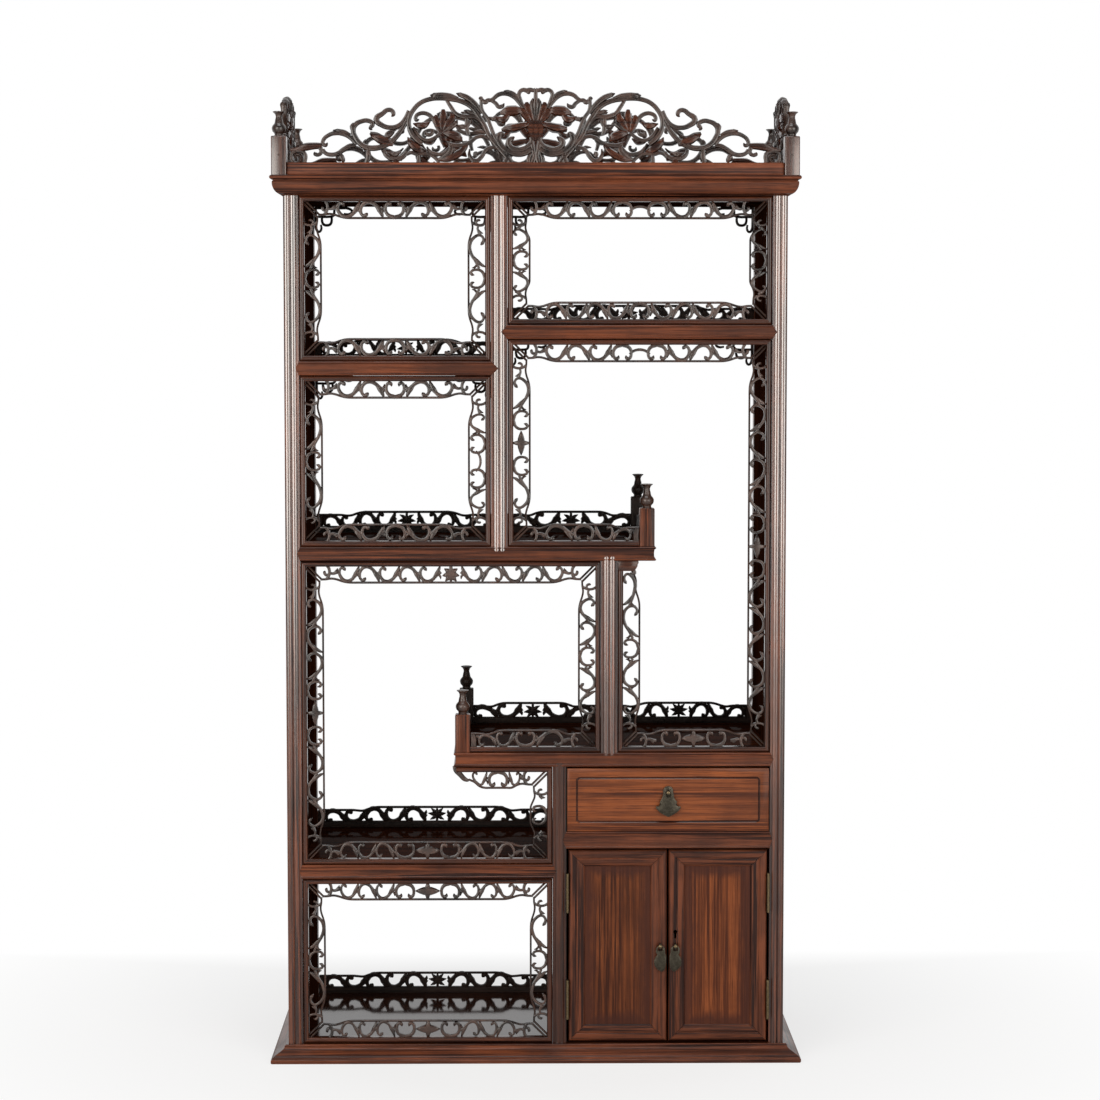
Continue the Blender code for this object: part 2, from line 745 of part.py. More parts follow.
def make_galleries():
    """Low galleries at the back edge of the shelves and on the free ends of the stepped ones."""
    half_partition = PARTITION_THICKNESS / 2
    inner = INNER_X - FIT_GAP
    upper_left = UPPER_POST_X - half_partition - FIT_GAP
    upper_right = UPPER_POST_X + half_partition + FIT_GAP
    for name, left, right, top in (
        ("upper_left_gallery", -inner, upper_left, UPPER_LEFT_SHELF_TOP),
        ("second_left_gallery", -inner, upper_left, MIDDLE_SHELF_TOP),
        ("upper_right_gallery", upper_right, inner, UPPER_RIGHT_SHELF_TOP),
        ("stepped_right_gallery", MIDDLE_POST_X + half_partition + FIT_GAP, inner, STEPPED_SHELF_TOP),
        ("wide_left_gallery", -inner, LOWER_PARTITION_LEFT - FIT_GAP, LOWER_LEFT_SHELF_TOP),
        ("lower_left_gallery", -inner, LOWER_PARTITION_LEFT - FIT_GAP, BASE_HEIGHT),
    ):
        mesh = outline_mesh(name, gallery_outlines(left, right, top), GALLERY_THICKNESS)
        add_part(name, mesh, FRET_WOOD, (0, GALLERY_Y, 0), FACING_FRONT)
    middle_left = MIDDLE_POST_X - half_partition - FIT_GAP
    return_gallery("middle_step_gallery", "middle", upper_right, MIDDLE_SHELF_TOP)
    return_gallery("stepped_step_gallery", "stepped", middle_left, STEPPED_SHELF_TOP)


def return_gallery(name, shelf_name, wall, top):
    """A back gallery, the rear post at the shelf's free end and the gallery along that end."""
    post_x = step_post_x(shelf_name)
    rear_y = BACK_Y - STEP_POST_INSET - CROWN_POST_WIDTH / 2
    lifted = top + FIT_GAP
    outlines = gallery_outlines(min(wall, post_x), max(wall, post_x), lifted)
    gallery = add_part(
        name,
        outline_mesh(name, outlines, GALLERY_THICKNESS),
        FRET_WOOD,
        (0, GALLERY_Y, 0),
        FACING_FRONT,
    )
    join_post(gallery, (post_x, rear_y, top + FIT_GAP))
    front_edge = FRONT_Y + STEP_POST_INSET + CROWN_POST_WIDTH + FIT_GAP
    end_outlines = gallery_outlines(front_edge, rear_y, lifted)
    end_mesh = outline_mesh(name + "_end", end_outlines, GALLERY_THICKNESS)
    combine(gallery, add_tool(name + "_end", end_mesh, (post_x, 0, 0), FACING_SIDE), "UNION")


def finial_mesh(name):
    """Half the profile of a turned finial, whose foot sinks into the post."""
    shape = bmesh.new()
    foot_radius = FINIAL_PROFILE[0][0] * FINIAL_RADIUS
    points = [(0, -FINIAL_SINK), (foot_radius, -FINIAL_SINK)]
    points += [(share * FINIAL_RADIUS, height * FINIAL_HEIGHT) for share, height in FINIAL_PROFILE[1:]]
    points.append((0, FINIAL_HEIGHT))
    previous = None
    for radius, height in reversed(points):
        corner = shape.verts.new((radius, 0, height))
        if previous:
            shape.edges.new((previous, corner))
        previous = corner
    mesh = bpy.data.meshes.new(name)
    shape.to_mesh(mesh)
    shape.free()
    return mesh


def add_finial(name, place):
    """A turned finial that is joined to a post."""
    finial = add_tool(name, finial_mesh(name), place)
    turn = finial.modifiers.new("turn", "SCREW")
    turn.steps = FINIAL_SIDES
    turn.render_steps = FINIAL_SIDES
    turn.use_merge_vertices = True
    turn.merge_threshold = WELD
    return finial


def post_mesh(name):
    """Square post, foot at the origin."""
    half = CROWN_POST_WIDTH / 2
    return box_mesh(name, (-half, -half, 0), (half, half, CROWN_POST_HEIGHT))


def finial_place(foot):
    """Where the finial of a post stands."""
    return (foot[0], foot[1], foot[2] + CROWN_POST_HEIGHT)


def add_post(name, foot):
    """A free post with its finial."""
    post = add_part(name, post_mesh(name), STILE_WOOD, foot)
    combine(post, add_finial(name + "_finial", finial_place(foot)), "UNION")


def join_post(part, foot):
    """A post with its finial, joined to a gallery."""
    combine(part, add_tool(part.name + "_post", post_mesh(part.name + "_post"), foot), "UNION")
    combine(part, add_finial(part.name + "_finial", finial_place(foot)), "UNION")


def oval_hole(place, height, half_width, half_height, mirror):
    """An oval hole."""
    hole = []
    for corner in range(OVAL_SIDES):
        angle = 2 * math.pi * (corner + OVAL_TURN) / OVAL_SIDES
        x = place + mirror * half_width * math.cos(angle)
        hole.append((x, height + half_height * math.sin(angle)))
    return hole


def crest_outlines(half_length, bottom, edge, scrolls, ovals):
    """A symmetrical pierced crest on a solid rail: outlines about its middle."""
    base = bottom + PEDIMENT_RAIL
    half = [(share * half_length, base + height * PEDIMENT_HEIGHT) for share, height in edge]
    outline = [(-half_length, bottom), (half_length, bottom)] + half
    outline += [(-x, z) for x, z in reversed(half)]
    outlines = [outline]
    for side in (-1, 1):
        for index, (place, height, width, rise) in enumerate(scrolls):
            centre = (side * place * half_length, base + height * PEDIMENT_HEIGHT)
            flip = -1 if index % 2 else 1
            hole = scroll_hole(*centre, width * half_length, rise * PEDIMENT_HEIGHT, side, flip)
            outlines.append(hole)
        for place, height, width, rise in ovals:
            centre = (side * place * half_length, base + height * PEDIMENT_HEIGHT)
            outlines.append(oval_hole(*centre, width * half_length, rise * PEDIMENT_HEIGHT, side))
    return outlines


def make_crown():
    """Pediments at front and back, front corner posts, and gables with the rear corner posts."""
    foot = CORNICE_TOP + FIT_GAP
    edge_x = OUTER_X + CORNICE_PROJECTION - CROWN_POST_INSET
    front_y = FRONT_Y - CORNICE_PROJECTION + CROWN_POST_INSET
    back_y = BACK_Y - CROWN_POST_INSET
    post_x = edge_x - CROWN_POST_WIDTH / 2
    front_post_y = front_y + CROWN_POST_WIDTH / 2
    back_post_y = back_y - CROWN_POST_WIDTH / 2
    half_length = post_x - CROWN_POST_WIDTH / 2 - FIT_GAP
    outlines = crest_outlines(half_length, foot, PEDIMENT_EDGE, PEDIMENT_SCROLLS, PEDIMENT_OVALS)
    for name, y in (("front_pediment", front_post_y), ("back_pediment", back_post_y)):
        mesh = outline_mesh(name, outlines, PEDIMENT_THICKNESS)
        add_part(name, mesh, FRET_WOOD, (0, y, 0), FACING_FRONT)
    gable_half = (back_post_y - front_post_y - CROWN_POST_WIDTH) / 2
    gable_y = (back_post_y + front_post_y) / 2 + FIT_GAP
    outlines = crest_outlines(gable_half, foot, GABLE_EDGE, GABLE_SCROLLS, GABLE_OVALS)
    for word, side in (("left", -1), ("right", 1)):
        name = word + "_gable"
        mesh = outline_mesh(name, outlines, PEDIMENT_THICKNESS)
        gable = add_part(name, mesh, FRET_WOOD, (side * post_x, gable_y, 0), FACING_SIDE)
        join_post(gable, (side * post_x, back_post_y, foot))
        add_post(word + "_corner_post", (side * post_x, front_post_y, foot))


def make_step_posts():
    """Front posts on the free ends of the stepped shelves."""
    post_y = FRONT_Y + STEP_POST_INSET + CROWN_POST_WIDTH / 2
    for name, shelf_name, top in (
        ("middle_step_post", "middle", MIDDLE_SHELF_TOP),
        ("stepped_step_post", "stepped", STEPPED_SHELF_TOP),
    ):
        add_post(name, (step_post_x(shelf_name), post_y, top + FIT_GAP))


def axis_empty(name, place):
    """An empty on a joint's axis, which carries the pieces that move about it."""
    empty = bpy.data.objects.new(name, None)
    empty.location = place
    PARTS.objects.link(empty)
    return empty


def carry(empty, *pieces):
    """Parent pieces to an empty without moving them."""
    bpy.context.view_layer.update()
    for piece in pieces:
        piece.parent = empty
        piece.matrix_parent_inverse = empty.matrix_world.inverted()


def mirrored(half):
    """A closed outline from its right half, given from top to bottom."""
    return half + [(-x, z) for x, z in reversed(half)]


def pull_outlines(half_edge, width, drop):
    """Drop plate that hangs on an eye: outline and slot about the eye's middle."""
    reach = EYE_BORE - PULL_PLAY - PULL_THICKNESS / 2
    half = [(share * width / 2, -height * drop) for share, height in half_edge]
    half[0] = (half[0][0], reach)
    slot_half = EYE_THICKNESS / 2 + PULL_PLAY
    slot_top = -(EYE_BORE - PULL_PLAY)
    slot_foot = -(EYE_RADIUS + PULL_PLAY)
    slot = [(-slot_half, slot_top), (slot_half, slot_top), (slot_half, slot_foot), (-slot_half, slot_foot)]
    return [mirrored(half), slot]


def eye_outlines(standoff):
    """Split-pin eye seen from the side: round head with its bore, shank towards the wood."""
    sides = 12
    ring = []
    bore = []
    half_shank = EYE_SHANK_HEIGHT / 2
    shank_angle = math.asin(half_shank / EYE_RADIUS)
    for step in range(sides + 1):
        angle = shank_angle + (2 * math.pi - 2 * shank_angle) * step / sides
        ring.append((EYE_RADIUS * math.cos(angle), EYE_RADIUS * math.sin(angle)))
    ring += [(standoff - FIT_GAP, -half_shank), (standoff - FIT_GAP, half_shank)]
    for step in range(sides):
        angle = 2 * math.pi * step / sides
        bore.append((EYE_BORE * math.cos(angle), EYE_BORE * math.sin(angle)))
    return [ring, bore]


def add_pull(word, place, half_edge, width, drop, standoff):
    """A fixed eye and the plate that swings on it."""
    pull = add_part(
        word + "_pull",
        outline_mesh(word + "_pull", pull_outlines(half_edge, width, drop), PULL_THICKNESS),
        BRONZE,
        place,
        FACING_FRONT,
    )
    eye = add_part(
        word + "_pull_eye",
        outline_mesh(word + "_pull_eye", eye_outlines(standoff), EYE_THICKNESS),
        BRONZE,
        place,
        FACING_SIDE,
    )
    swing = axis_empty(word + "_pull_axis", place)
    carry(swing, pull)
    return swing, eye


def make_drawer():
    """Drawer front, open box, pull and its plate."""
    left = LOWER_POST_RIGHT + DRAWER_CLEARANCE
    right = INNER_X - DRAWER_CLEARANCE
    bottom = DRAWER_RAIL_TOP + FIT_GAP
    top = STEPPED_SHELF_TOP - SHELF_THICKNESS - DRAWER_CLEARANCE
    back = DOOR_FRONT_Y + DRAWER_FRONT_THICKNESS
    name = "drawer_front"
    front = add_part(name, box_mesh(name, (left, DOOR_FRONT_Y, bottom), (right, back, top)), PANEL_WOOD)
    frame = []
    for inset in (INLAY_MARGIN, INLAY_MARGIN + INLAY_WIDTH):
        x0, x1, z0, z1 = left + inset, right - inset, bottom + inset, top - inset
        frame.append([(x0, z0), (x1, z0), (x1, z1), (x0, z1)])
    groove = outline_mesh("drawer_inlay", frame, INLAY_DEPTH * 2)
    combine(front, add_tool("drawer_inlay", groove, (0, DOOR_FRONT_Y, 0), FACING_FRONT), "DIFFERENCE")
    box_back = BACK_Y - CUPBOARD_BACK_THICKNESS - DRAWER_BACK_CLEARANCE
    low = (left, back + FIT_GAP, bottom)
    high = (right, box_back, top - DRAWER_BOX_DROP)
    box = add_part("drawer_box", box_mesh("drawer_box", low, high), PALE_WOOD)
    hollow_low = (left + DRAWER_SIDE, back + DRAWER_SIDE, bottom + DRAWER_FLOOR)
    hollow_high = (right - DRAWER_SIDE, box_back - DRAWER_SIDE, top + DRAWER_BOX_DROP)
    hollow = add_tool("drawer_hollow", box_mesh("drawer_hollow", hollow_low, hollow_high))
    combine(box, hollow, "DIFFERENCE")
    eye_z = (bottom + top) / 2 + DRAWER_PULL_ABOVE_CENTRE
    eye_place = ((left + right) / 2, DOOR_FRONT_Y - EYE_STANDOFF, eye_z)
    swing, eye = add_pull(
        "drawer", eye_place, DRAWER_PULL_EDGE, DRAWER_PULL_WIDTH, DRAWER_PULL_DROP, EYE_STANDOFF
    )
    half_plate = DRAWER_PLATE_WIDTH / 2
    rise = EYE_RADIUS * 2
    plate = [(-half_plate, rise - DRAWER_PLATE_HEIGHT), (half_plate, rise - DRAWER_PLATE_HEIGHT), (0, rise)]
    plate_y = DOOR_FRONT_Y - FIT_GAP - DRAWER_PLATE_THICKNESS / 2
    plate_place = (eye_place[0], plate_y, eye_place[2])
    plate_mesh = outline_mesh("drawer_back_plate", [plate], DRAWER_PLATE_THICKNESS)
    combine(eye, add_tool("drawer_back_plate", plate_mesh, plate_place, FACING_FRONT), "UNION")
    slide = axis_empty("drawer_axis", ((left + right) / 2, DOOR_FRONT_Y, (bottom + top) / 2))
    carry(slide, front, box, eye, swing)


def opening_cutter(name, left, right, bottom, top):
    """Door opening: straight through, opened out by an ovolo at the front."""
    back = DOOR_FRONT_Y + DOOR_THICKNESS
    shape = bmesh.new()
    bmesh.ops.create_cube(shape, size=1)
    for corner in shape.verts:
        x = left if corner.co.x < 0 else right
        z = bottom if corner.co.z < 0 else top
        y = DOOR_FRONT_Y - DOOR_OVOLO if corner.co.y < 0 else back + DOOR_OVOLO
        corner.co = (x, y, z)
    front = [face for face in shape.faces if face.normal.y < -0.5]
    bmesh.ops.translate(shape, verts=front[0].verts, vec=(0, 2 * DOOR_OVOLO, 0))
    rim = bmesh.ops.extrude_face_region(shape, geom=front)
    bmesh.ops.delete(shape, geom=front, context="FACES_ONLY")
    for corner in [item for item in rim["geom"] if isinstance(item, bmesh.types.BMVert)]:
        corner.co.x += -2 * DOOR_OVOLO if corner.co.x < (left + right) / 2 else 2 * DOOR_OVOLO
        corner.co.z += -2 * DOOR_OVOLO if corner.co.z < (bottom + top) / 2 else 2 * DOOR_OVOLO
        corner.co.y -= 2 * DOOR_OVOLO
    bmesh.ops.recalc_face_normals(shape, faces=shape.faces)
    mesh = bpy.data.meshes.new(name)
    shape.to_mesh(mesh)
    shape.free()
    return add_tool(name, mesh)


def keyhole_outline():
    """Round hole over a narrow slot, about the round hole's middle."""
    sides = 8
    half_slot = KEYHOLE_RADIUS / 2
    edge = [(half_slot, -KEYHOLE_DROP)]
    gap = math.pi / 6
    for step in range(sides + 1):
        angle = -math.pi / 2 + gap + (2 * math.pi - 2 * gap) * step / sides
        edge.append((KEYHOLE_RADIUS * math.cos(angle), KEYHOLE_RADIUS * math.sin(angle)))
    edge.append((-half_slot, -KEYHOLE_DROP))
    return edge


def make_doors():
    """Two framed doors with their panels, pulls and hinges."""
    first = LOWER_POST_RIGHT + DOOR_GAP
    last = INNER_X - DOOR_GAP
    width = (last - first - DOOR_MEETING_GAP) / 2
    bottom = BASE_HEIGHT + DOOR_SILL_GAP
    top = DRAWER_RAIL_BOTTOM - DOOR_SILL_GAP
    for word, side, left in (("left", -1, first), ("right", 1, last - width)):
        right = left + width
        axis_x = left - DOOR_GAP / 2 if side < 0 else right + DOOR_GAP / 2
        axis_y = FRONT_Y - HINGE_BARREL_RADIUS - FIT_GAP
        axis = axis_empty(word + "_door_axis", (axis_x, axis_y, (bottom + top) / 2))
        frame, panel = add_door(word, left, right, bottom, top)
        leaves = []
        from_end = HINGE_INSET + HINGE_HEIGHT / 2
        for level, z in (("upper", top - from_end), ("lower", bottom + from_end)):
            leaves.append(add_hinge(word + "_" + level, side, (axis_x, axis_y, z)))
        meeting_edge = right - DOOR_PULL_EDGE_GAP if side < 0 else left + DOOR_PULL_EDGE_GAP
        pull_x = meeting_edge + side * DOOR_PULL_WIDTH / 2
        pull_z = (bottom + top) / 2
        place = (pull_x, DOOR_FRONT_Y - EYE_STANDOFF, pull_z)
        swing, eye = add_pull(
            word + "_door", place, DOOR_PULL_EDGE, DOOR_PULL_WIDTH, DOOR_PULL_DROP, EYE_STANDOFF
        )
        if side > 0:
            keyhole = outline_mesh("keyhole", [keyhole_outline()], DOOR_THICKNESS)
            place = (pull_x, DOOR_FRONT_Y, pull_z + KEYHOLE_ABOVE_PULL)
            combine(frame, add_tool("keyhole", keyhole, place, FACING_FRONT), "DIFFERENCE")
        carry(axis, frame, panel, eye, swing, *leaves)


def add_door(word, left, right, bottom, top):
    """A frame grooved round its opening, and the panel that floats in the groove."""
    back = DOOR_FRONT_Y + DOOR_THICKNESS
    name = word + "_door_frame"
    frame = add_part(name, box_mesh(name, (left, DOOR_FRONT_Y, bottom), (right, back, top)), DARK_WOOD)
    inset = DOOR_FRAME_WIDTH
    sight = (left + inset, right - inset, bottom + inset, top - inset)
    combine(frame, opening_cutter(word + "_door_opening", *sight), "DIFFERENCE")
    middle = (DOOR_FRONT_Y + back) / 2
    pieces = []
    for reach, half in (
        (DOOR_GROOVE_DEPTH, DOOR_PANEL_THICKNESS / 2 + FIT_GAP),
        (DOOR_GROOVE_DEPTH - FIT_GAP, DOOR_PANEL_THICKNESS / 2),
    ):
        low = (sight[0] - reach, middle - half, sight[2] - reach)
        high = (sight[1] + reach, middle + half, sight[3] + reach)
        pieces.append((low, high))
    groove = add_tool(word + "_door_groove", box_mesh(word + "_door_groove", *pieces[0]))
    combine(frame, groove, "DIFFERENCE")
    panel = add_part(word + "_door_panel", box_mesh(word + "_door_panel", *pieces[1]), PANEL_WOOD)
    return frame, panel


def leaf_mesh(name, side):
    """Hinge leaf in plan: barrel round the origin and a plate into the gap, on one side of it."""
    plate_far = DOOR_GAP / 2 - FIT_GAP
    plate_near = plate_far - HINGE_LEAF_THICKNESS
    depth = HINGE_BARREL_RADIUS + FIT_GAP + HINGE_LEAF_DEPTH
    start = math.acos(plate_near / HINGE_BARREL_RADIUS)
    end = math.acos(plate_far / HINGE_BARREL_RADIUS)
    outline = [(plate_far, depth), (plate_near, depth)]
    turn = 2 * math.pi - (start - end)
    for step in range(HINGE_SIDES + 1):
        angle = start + turn * step / HINGE_SIDES
        outline.append((HINGE_BARREL_RADIUS * math.cos(angle), HINGE_BARREL_RADIUS * math.sin(angle)))
    outline = [(side * x, y) for x, y in outline]
    return outline_mesh(name, [outline], HINGE_HEIGHT)


def knuckle_cutter(name, place, height):
    """A block that clears one knuckle off a leaf."""
    reach = HINGE_BARREL_RADIUS + FIT_GAP
    low = (-reach, -reach, -height / 2)
    return add_tool(name, box_mesh(name, low, (reach, reach, height / 2)), place)


def add_hinge(word, side, place):
    """A fixed leaf with two knuckles and the pin, and a door leaf with the knuckle between."""
    third = HINGE_HEIGHT / 3
    x, y, z = place
    fixed_name = word + "_hinge_leaf"
    fixed = add_part(fixed_name, leaf_mesh(fixed_name, side), BRASS, place)
    combine(fixed, knuckle_cutter(fixed_name + "_gap", place, third + 2 * FIT_GAP), "DIFFERENCE")
    pin_mesh = cylinder_mesh(word + "_pin", HINGE_PIN_RADIUS, 2 * third, HINGE_SIDES)
    combine(fixed, add_tool(word + "_pin", pin_mesh, place), "UNION")
    moving_name = word + "_door_leaf"
    moving = add_part(moving_name, leaf_mesh(moving_name, -side), BRASS, place)
    for end, sign in (("top", 1), ("foot", -1)):
        end_place = (x, y, z + sign * (third + FIT_GAP / 2))
        combine(moving, knuckle_cutter(moving_name + "_" + end, end_place, third + FIT_GAP), "DIFFERENCE")
    bore_mesh = cylinder_mesh(word + "_bore", HINGE_PIN_RADIUS + FIT_GAP, HINGE_HEIGHT, HINGE_SIDES)
    combine(moving, add_tool(word + "_bore", bore_mesh, place), "DIFFERENCE")
    return moving


clear_scene()
PARTS = new_collection("display_cabinet")
CUTTERS = new_collection("cutters")
make_base()
make_cornice()
make_sides()
make_dividers()
make_shelves()
make_frets()
make_galleries()
make_crown()
make_step_posts()
make_drawer()
make_doors()
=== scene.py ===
"""Looks of a stepped display cabinet: carved frets and crown, reeded uprights, boards, doors, metalwork."""

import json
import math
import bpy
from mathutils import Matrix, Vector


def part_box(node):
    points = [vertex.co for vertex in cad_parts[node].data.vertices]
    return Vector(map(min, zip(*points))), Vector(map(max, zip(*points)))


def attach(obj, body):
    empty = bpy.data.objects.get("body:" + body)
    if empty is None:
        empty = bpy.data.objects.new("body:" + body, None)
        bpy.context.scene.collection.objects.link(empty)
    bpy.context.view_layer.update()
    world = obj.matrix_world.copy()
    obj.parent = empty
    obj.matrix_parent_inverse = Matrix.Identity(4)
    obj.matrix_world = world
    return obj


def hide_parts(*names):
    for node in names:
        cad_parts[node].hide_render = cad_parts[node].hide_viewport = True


bl_info = {
    "name": "Display cabinet looks",
    "version": (1, 0, 0),
    "blender": (4, 5, 0),
    "location": "View3D > Sidebar > Cabinet",
    "description": "Dresses a stepped display cabinet with carving, mouldings, wood and metal finishes",
    "category": "Object",
}

import bmesh
import bpy
from bpy.props import FloatProperty, FloatVectorProperty, IntProperty, PointerProperty
from mathutils import Matrix, Vector

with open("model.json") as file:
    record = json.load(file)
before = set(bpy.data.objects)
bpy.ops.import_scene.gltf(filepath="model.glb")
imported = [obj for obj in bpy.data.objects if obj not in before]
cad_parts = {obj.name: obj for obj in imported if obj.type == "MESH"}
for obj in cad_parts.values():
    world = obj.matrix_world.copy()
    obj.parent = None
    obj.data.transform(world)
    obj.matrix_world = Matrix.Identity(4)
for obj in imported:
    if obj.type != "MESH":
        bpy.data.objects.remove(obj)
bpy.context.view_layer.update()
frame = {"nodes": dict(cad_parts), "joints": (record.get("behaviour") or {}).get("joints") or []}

# How a flat drawing stands: its x, y and z become these world directions
FACING_FRONT = Matrix.Rotation(math.pi / 2, 4, "X")
FACING_SIDE = Matrix(((0, 0, 1, 0), (1, 0, 0, 0), (0, 1, 0, 0), (0, 0, 0, 1)))

# Places read from the frame
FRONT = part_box("left_front_stile")[0].y
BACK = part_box("left_back_stile")[1].y
POST_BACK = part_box("left_front_stile")[1].y

# A millimetre, the play between two pieces, and the distance at which points are merged
MM = 0.001
GAP = 0.0003
MERGED = 0.000001

# How soon a carved strand flattens towards its relief, in frets and in crests
FRET_SOFTNESS = 0.0017
CREST_SOFTNESS = 0.0025

# Degrees past which an edge of carving stays sharp
CARVED_CREASE = 50

# Cosines from which a face looks along an axis, and from which it is level
ALONG = 0.9
LEVEL = 0.999

# How far a cutter runs past what it cuts
CUT_RUN = 0.002

# One curl of the running vine: shares of its length, shares of the band's depth, half width in mm
CURL = [
    (0.30, 0.70, 0.5),
    (0.25, 0.79, 1.5),
    (0.18, 0.86, 1.3),
    (0.07, 0.82, 1.1),
    (0.00, 0.58, 1.2),
    (0.07, 0.26, 1.3),
    (0.28, 0.06, 1.6),
    (0.55, 0.14, 1.4),
    (0.80, 0.42, 1.3),
    (1.02, 0.62, 1.1),
]
CURL_LEAF = [(0.62, 0.24, 0.7), (0.80, 0.52, 1.7), (0.92, 0.80, 1.3), (0.97, 1.0, 0.5)]
CURL_SPUR = [(0.88, 0.50, 0.9), (0.98, 0.36, 1.0), (1.00, 0.20, 0.3)]
OMEGA = [
    (-0.20, 0.66, 0.4),
    (-0.24, 0.80, 1.5),
    (-0.36, 0.86, 1.3),
    (-0.50, 0.62, 1.2),
    (-0.40, 0.22, 1.4),
    (0.0, 0.03, 1.7),
]
LEAF = [
    [(0.0, 0.02, 1.3), (0.0, 0.30, 1.6), (0.0, 0.50, 2.4), (0.0, 0.74, 2.0), (0.0, 0.90, 1.0),
     (0.0, 1.0, 0.9)],
    [(0.02, 0.46, 1.6), (0.30, 0.30, 2.0), (0.60, 0.18, 0.4)],
    [(0.02, 0.52, 1.8), (0.40, 0.55, 2.2), (0.76, 0.60, 0.4)],
    [(0.02, 0.56, 1.6), (0.28, 0.76, 1.9), (0.50, 0.92, 0.4)],
]
STAR = [
    [(0.0, 0.01, 0.9), (0.0, 0.22, 2.0), (0.0, 0.50, 3.2), (0.0, 0.78, 2.0), (0.0, 0.99, 0.9)],
    [(0.0, 0.50, 3.2), (0.36, 0.50, 3.2), (0.70, 0.50, 2.2), (1.09, 0.50, 0.5)],
]
ARCH = [(0.56, 0.60, 1.0), (0.42, 0.45, 1.1), (0.21, 0.35, 1.1), (0.0, 0.32, 1.2)]


def whole_omega(middle, scale):
    """Both halves of an omega beside the middle of an ornament."""
    right = [(middle + scale * share, depth, half_width) for share, depth, half_width in OMEGA]
    left = [(middle - scale * share, depth, half_width) for share, depth, half_width in OMEGA]
    return [right, left]


# Ornaments in the middle of a band: each stroke is drawn to both sides
ORNAMENTS = {
    "leaf": LEAF,
    "star": STAR + whole_omega(2.064, 1.6),
    "hooks": [OMEGA],
    "twin": [*whole_omega(0.98, 1.0), ARCH],
}

# Length of an ornament's share of 1, and half of the room that the vine leaves to it
ORNAMENT_REACH = {"leaf": 0.0125, "star": 0.0125, "hooks": 0.0200, "twin": 0.0200}
ORNAMENT_ROOM = {"leaf": 0.0115, "star": 0.0375, "hooks": 0.0120, "twin": 0.0310}

# Shortest length that has curls; where the curls of a short side begin, as a share of its lead, and end
SHORTEST_VINE = 0.012
SHORT_VINE_LEAD = 0.4
SHORT_VINE_END = 0.006

# Ends of a fret's side: lengths that the vine leaves to a corner, to a post and past a hanging tip
CORNER_LEAD = 0.033
POST_LEAD = 0.010
TIP_LEAD = 0.004

# Where the swell of a side begins, at a corner and elsewhere, and the shortest run that swells
CORNER_STEP = 0.038
PLAIN_STEP = 0.022
SHORTEST_RUN = 0.02

# Shoulder of a swell: share of the run, shortest and longest, share of it where its middle lies
SHOULDER_SHARE = 0.2
SHOULDER = (0.008, 0.022)
SHOULDER_MIDDLE = 0.35

# Place, length and depth of the dip before a swell
DIP_PLACE = 0.002
DIP_LENGTH = 0.006
DIP_DEPTH = 0.0011

# Share of the full depth at a hanging tip, and the length over which it grows to the whole
TIP_SHARE = 0.76
TIP_GROWTH = 0.014

# How an upright side differs: weight of its strands and of its inner bead, pitch of its curls
UPRIGHT_WEIGHT = 0.84
UPRIGHT_BEAD = 0.85
UPRIGHT_PITCH = 1.24

# Pitch for which the curl's widths are drawn, and the least and most that they are scaled
DRAWN_PITCH = 0.0235
CURL_SCALE = (0.72, 1.1)

# Stem before the first curl on a long and on a short side, and how far it and its bracket reach back
LONG_RUN = 0.09
LONG_STEM = 0.0105
SHORT_STEM = 0.004
STEM_BACK = 0.001
BRACKET_BACK = 0.003

# Hooked bracket beside a corner, pointed stem and post's shoulder: shares of the depth, half widths in mm
BRACKET = [
    [(0.0, 0.0, 1.3), (0.0018, 0.22, 1.2), (0.0024, 0.5, 1.2), (0.0014, 0.8, 1.2), (-0.001, 1.0, 1.3)],
    [(0.0020, 0.62, 1.1), (-0.0002, 0.70, 1.1), (-0.0026, 0.62, 1.2), (-0.0032, 0.46, 1.2),
     (-0.0024, 0.38, 0.4)],
]
STEM = [
    [(0.0, 0.52, 1.1), (0.35, 0.62, 1.1), (0.7, 0.5, 1.4), (1.05, 0.42, 1.2)],
    [(0.45, 0.6, 0.9), (0.75, 0.36, 1.2), (0.82, 0.18, 0.3)],
]
EAR = [
    [(0.0034, 0.0, 2.6), (0.0036, 0.5, 2.6), (0.0028, 0.96, 2.1)],
    [(0.0065, 0.84, 1.2), (0.0095, 0.74, 1.2), (0.0098, 0.58, 1.3), (0.0082, 0.54, 0.4)],
]

# Beads of a fret: set-back from the front, share of the width that is rounded, cover over the strands
BEAD_SETBACK = 0.0012
BEAD_ROUNDING = 0.42
BEAD_COVER = 0.0008

# Inner bead: play at a free end and length between its points
EDGE_PLAY = 0.0005
EDGE_STEP = 0.006

# Pair of bars on a corner's diagonal: half their distance, half width, play before the inner bead
BAR_SPREAD = 0.00125
BAR_WEIGHT = 0.0012
BAR_PLAY = 0.0004

# Bracket under the middle shelf: length, half thickness, angle in radians from which an edge is rounded,
# and its end in mm, in from the tip and down
CORBEL_LENGTH = 0.0235
CORBEL_HALF = 0.0045
CORBEL_SHARP = 1.2
CORBEL_END = [(0, 0), (0, 2.2), (1.0, 4.0), (1.4, 6.4), (3.0, 9.0), (5.5, 11.4)]
CORBEL_DROP = CORBEL_END[-1][1] * MM

# Ball at the bracket's lower tip in mm: in from the bracket's end, and its stroke about that place
CORBEL_BALL_PLACE = 6.2
CORBEL_BALL = [(1.2, 1.0, 1.6), (1.6, -2.4, 2.3), (-1.6, -3.6, 1.8), (-3.0, -2.0, 0.8)]

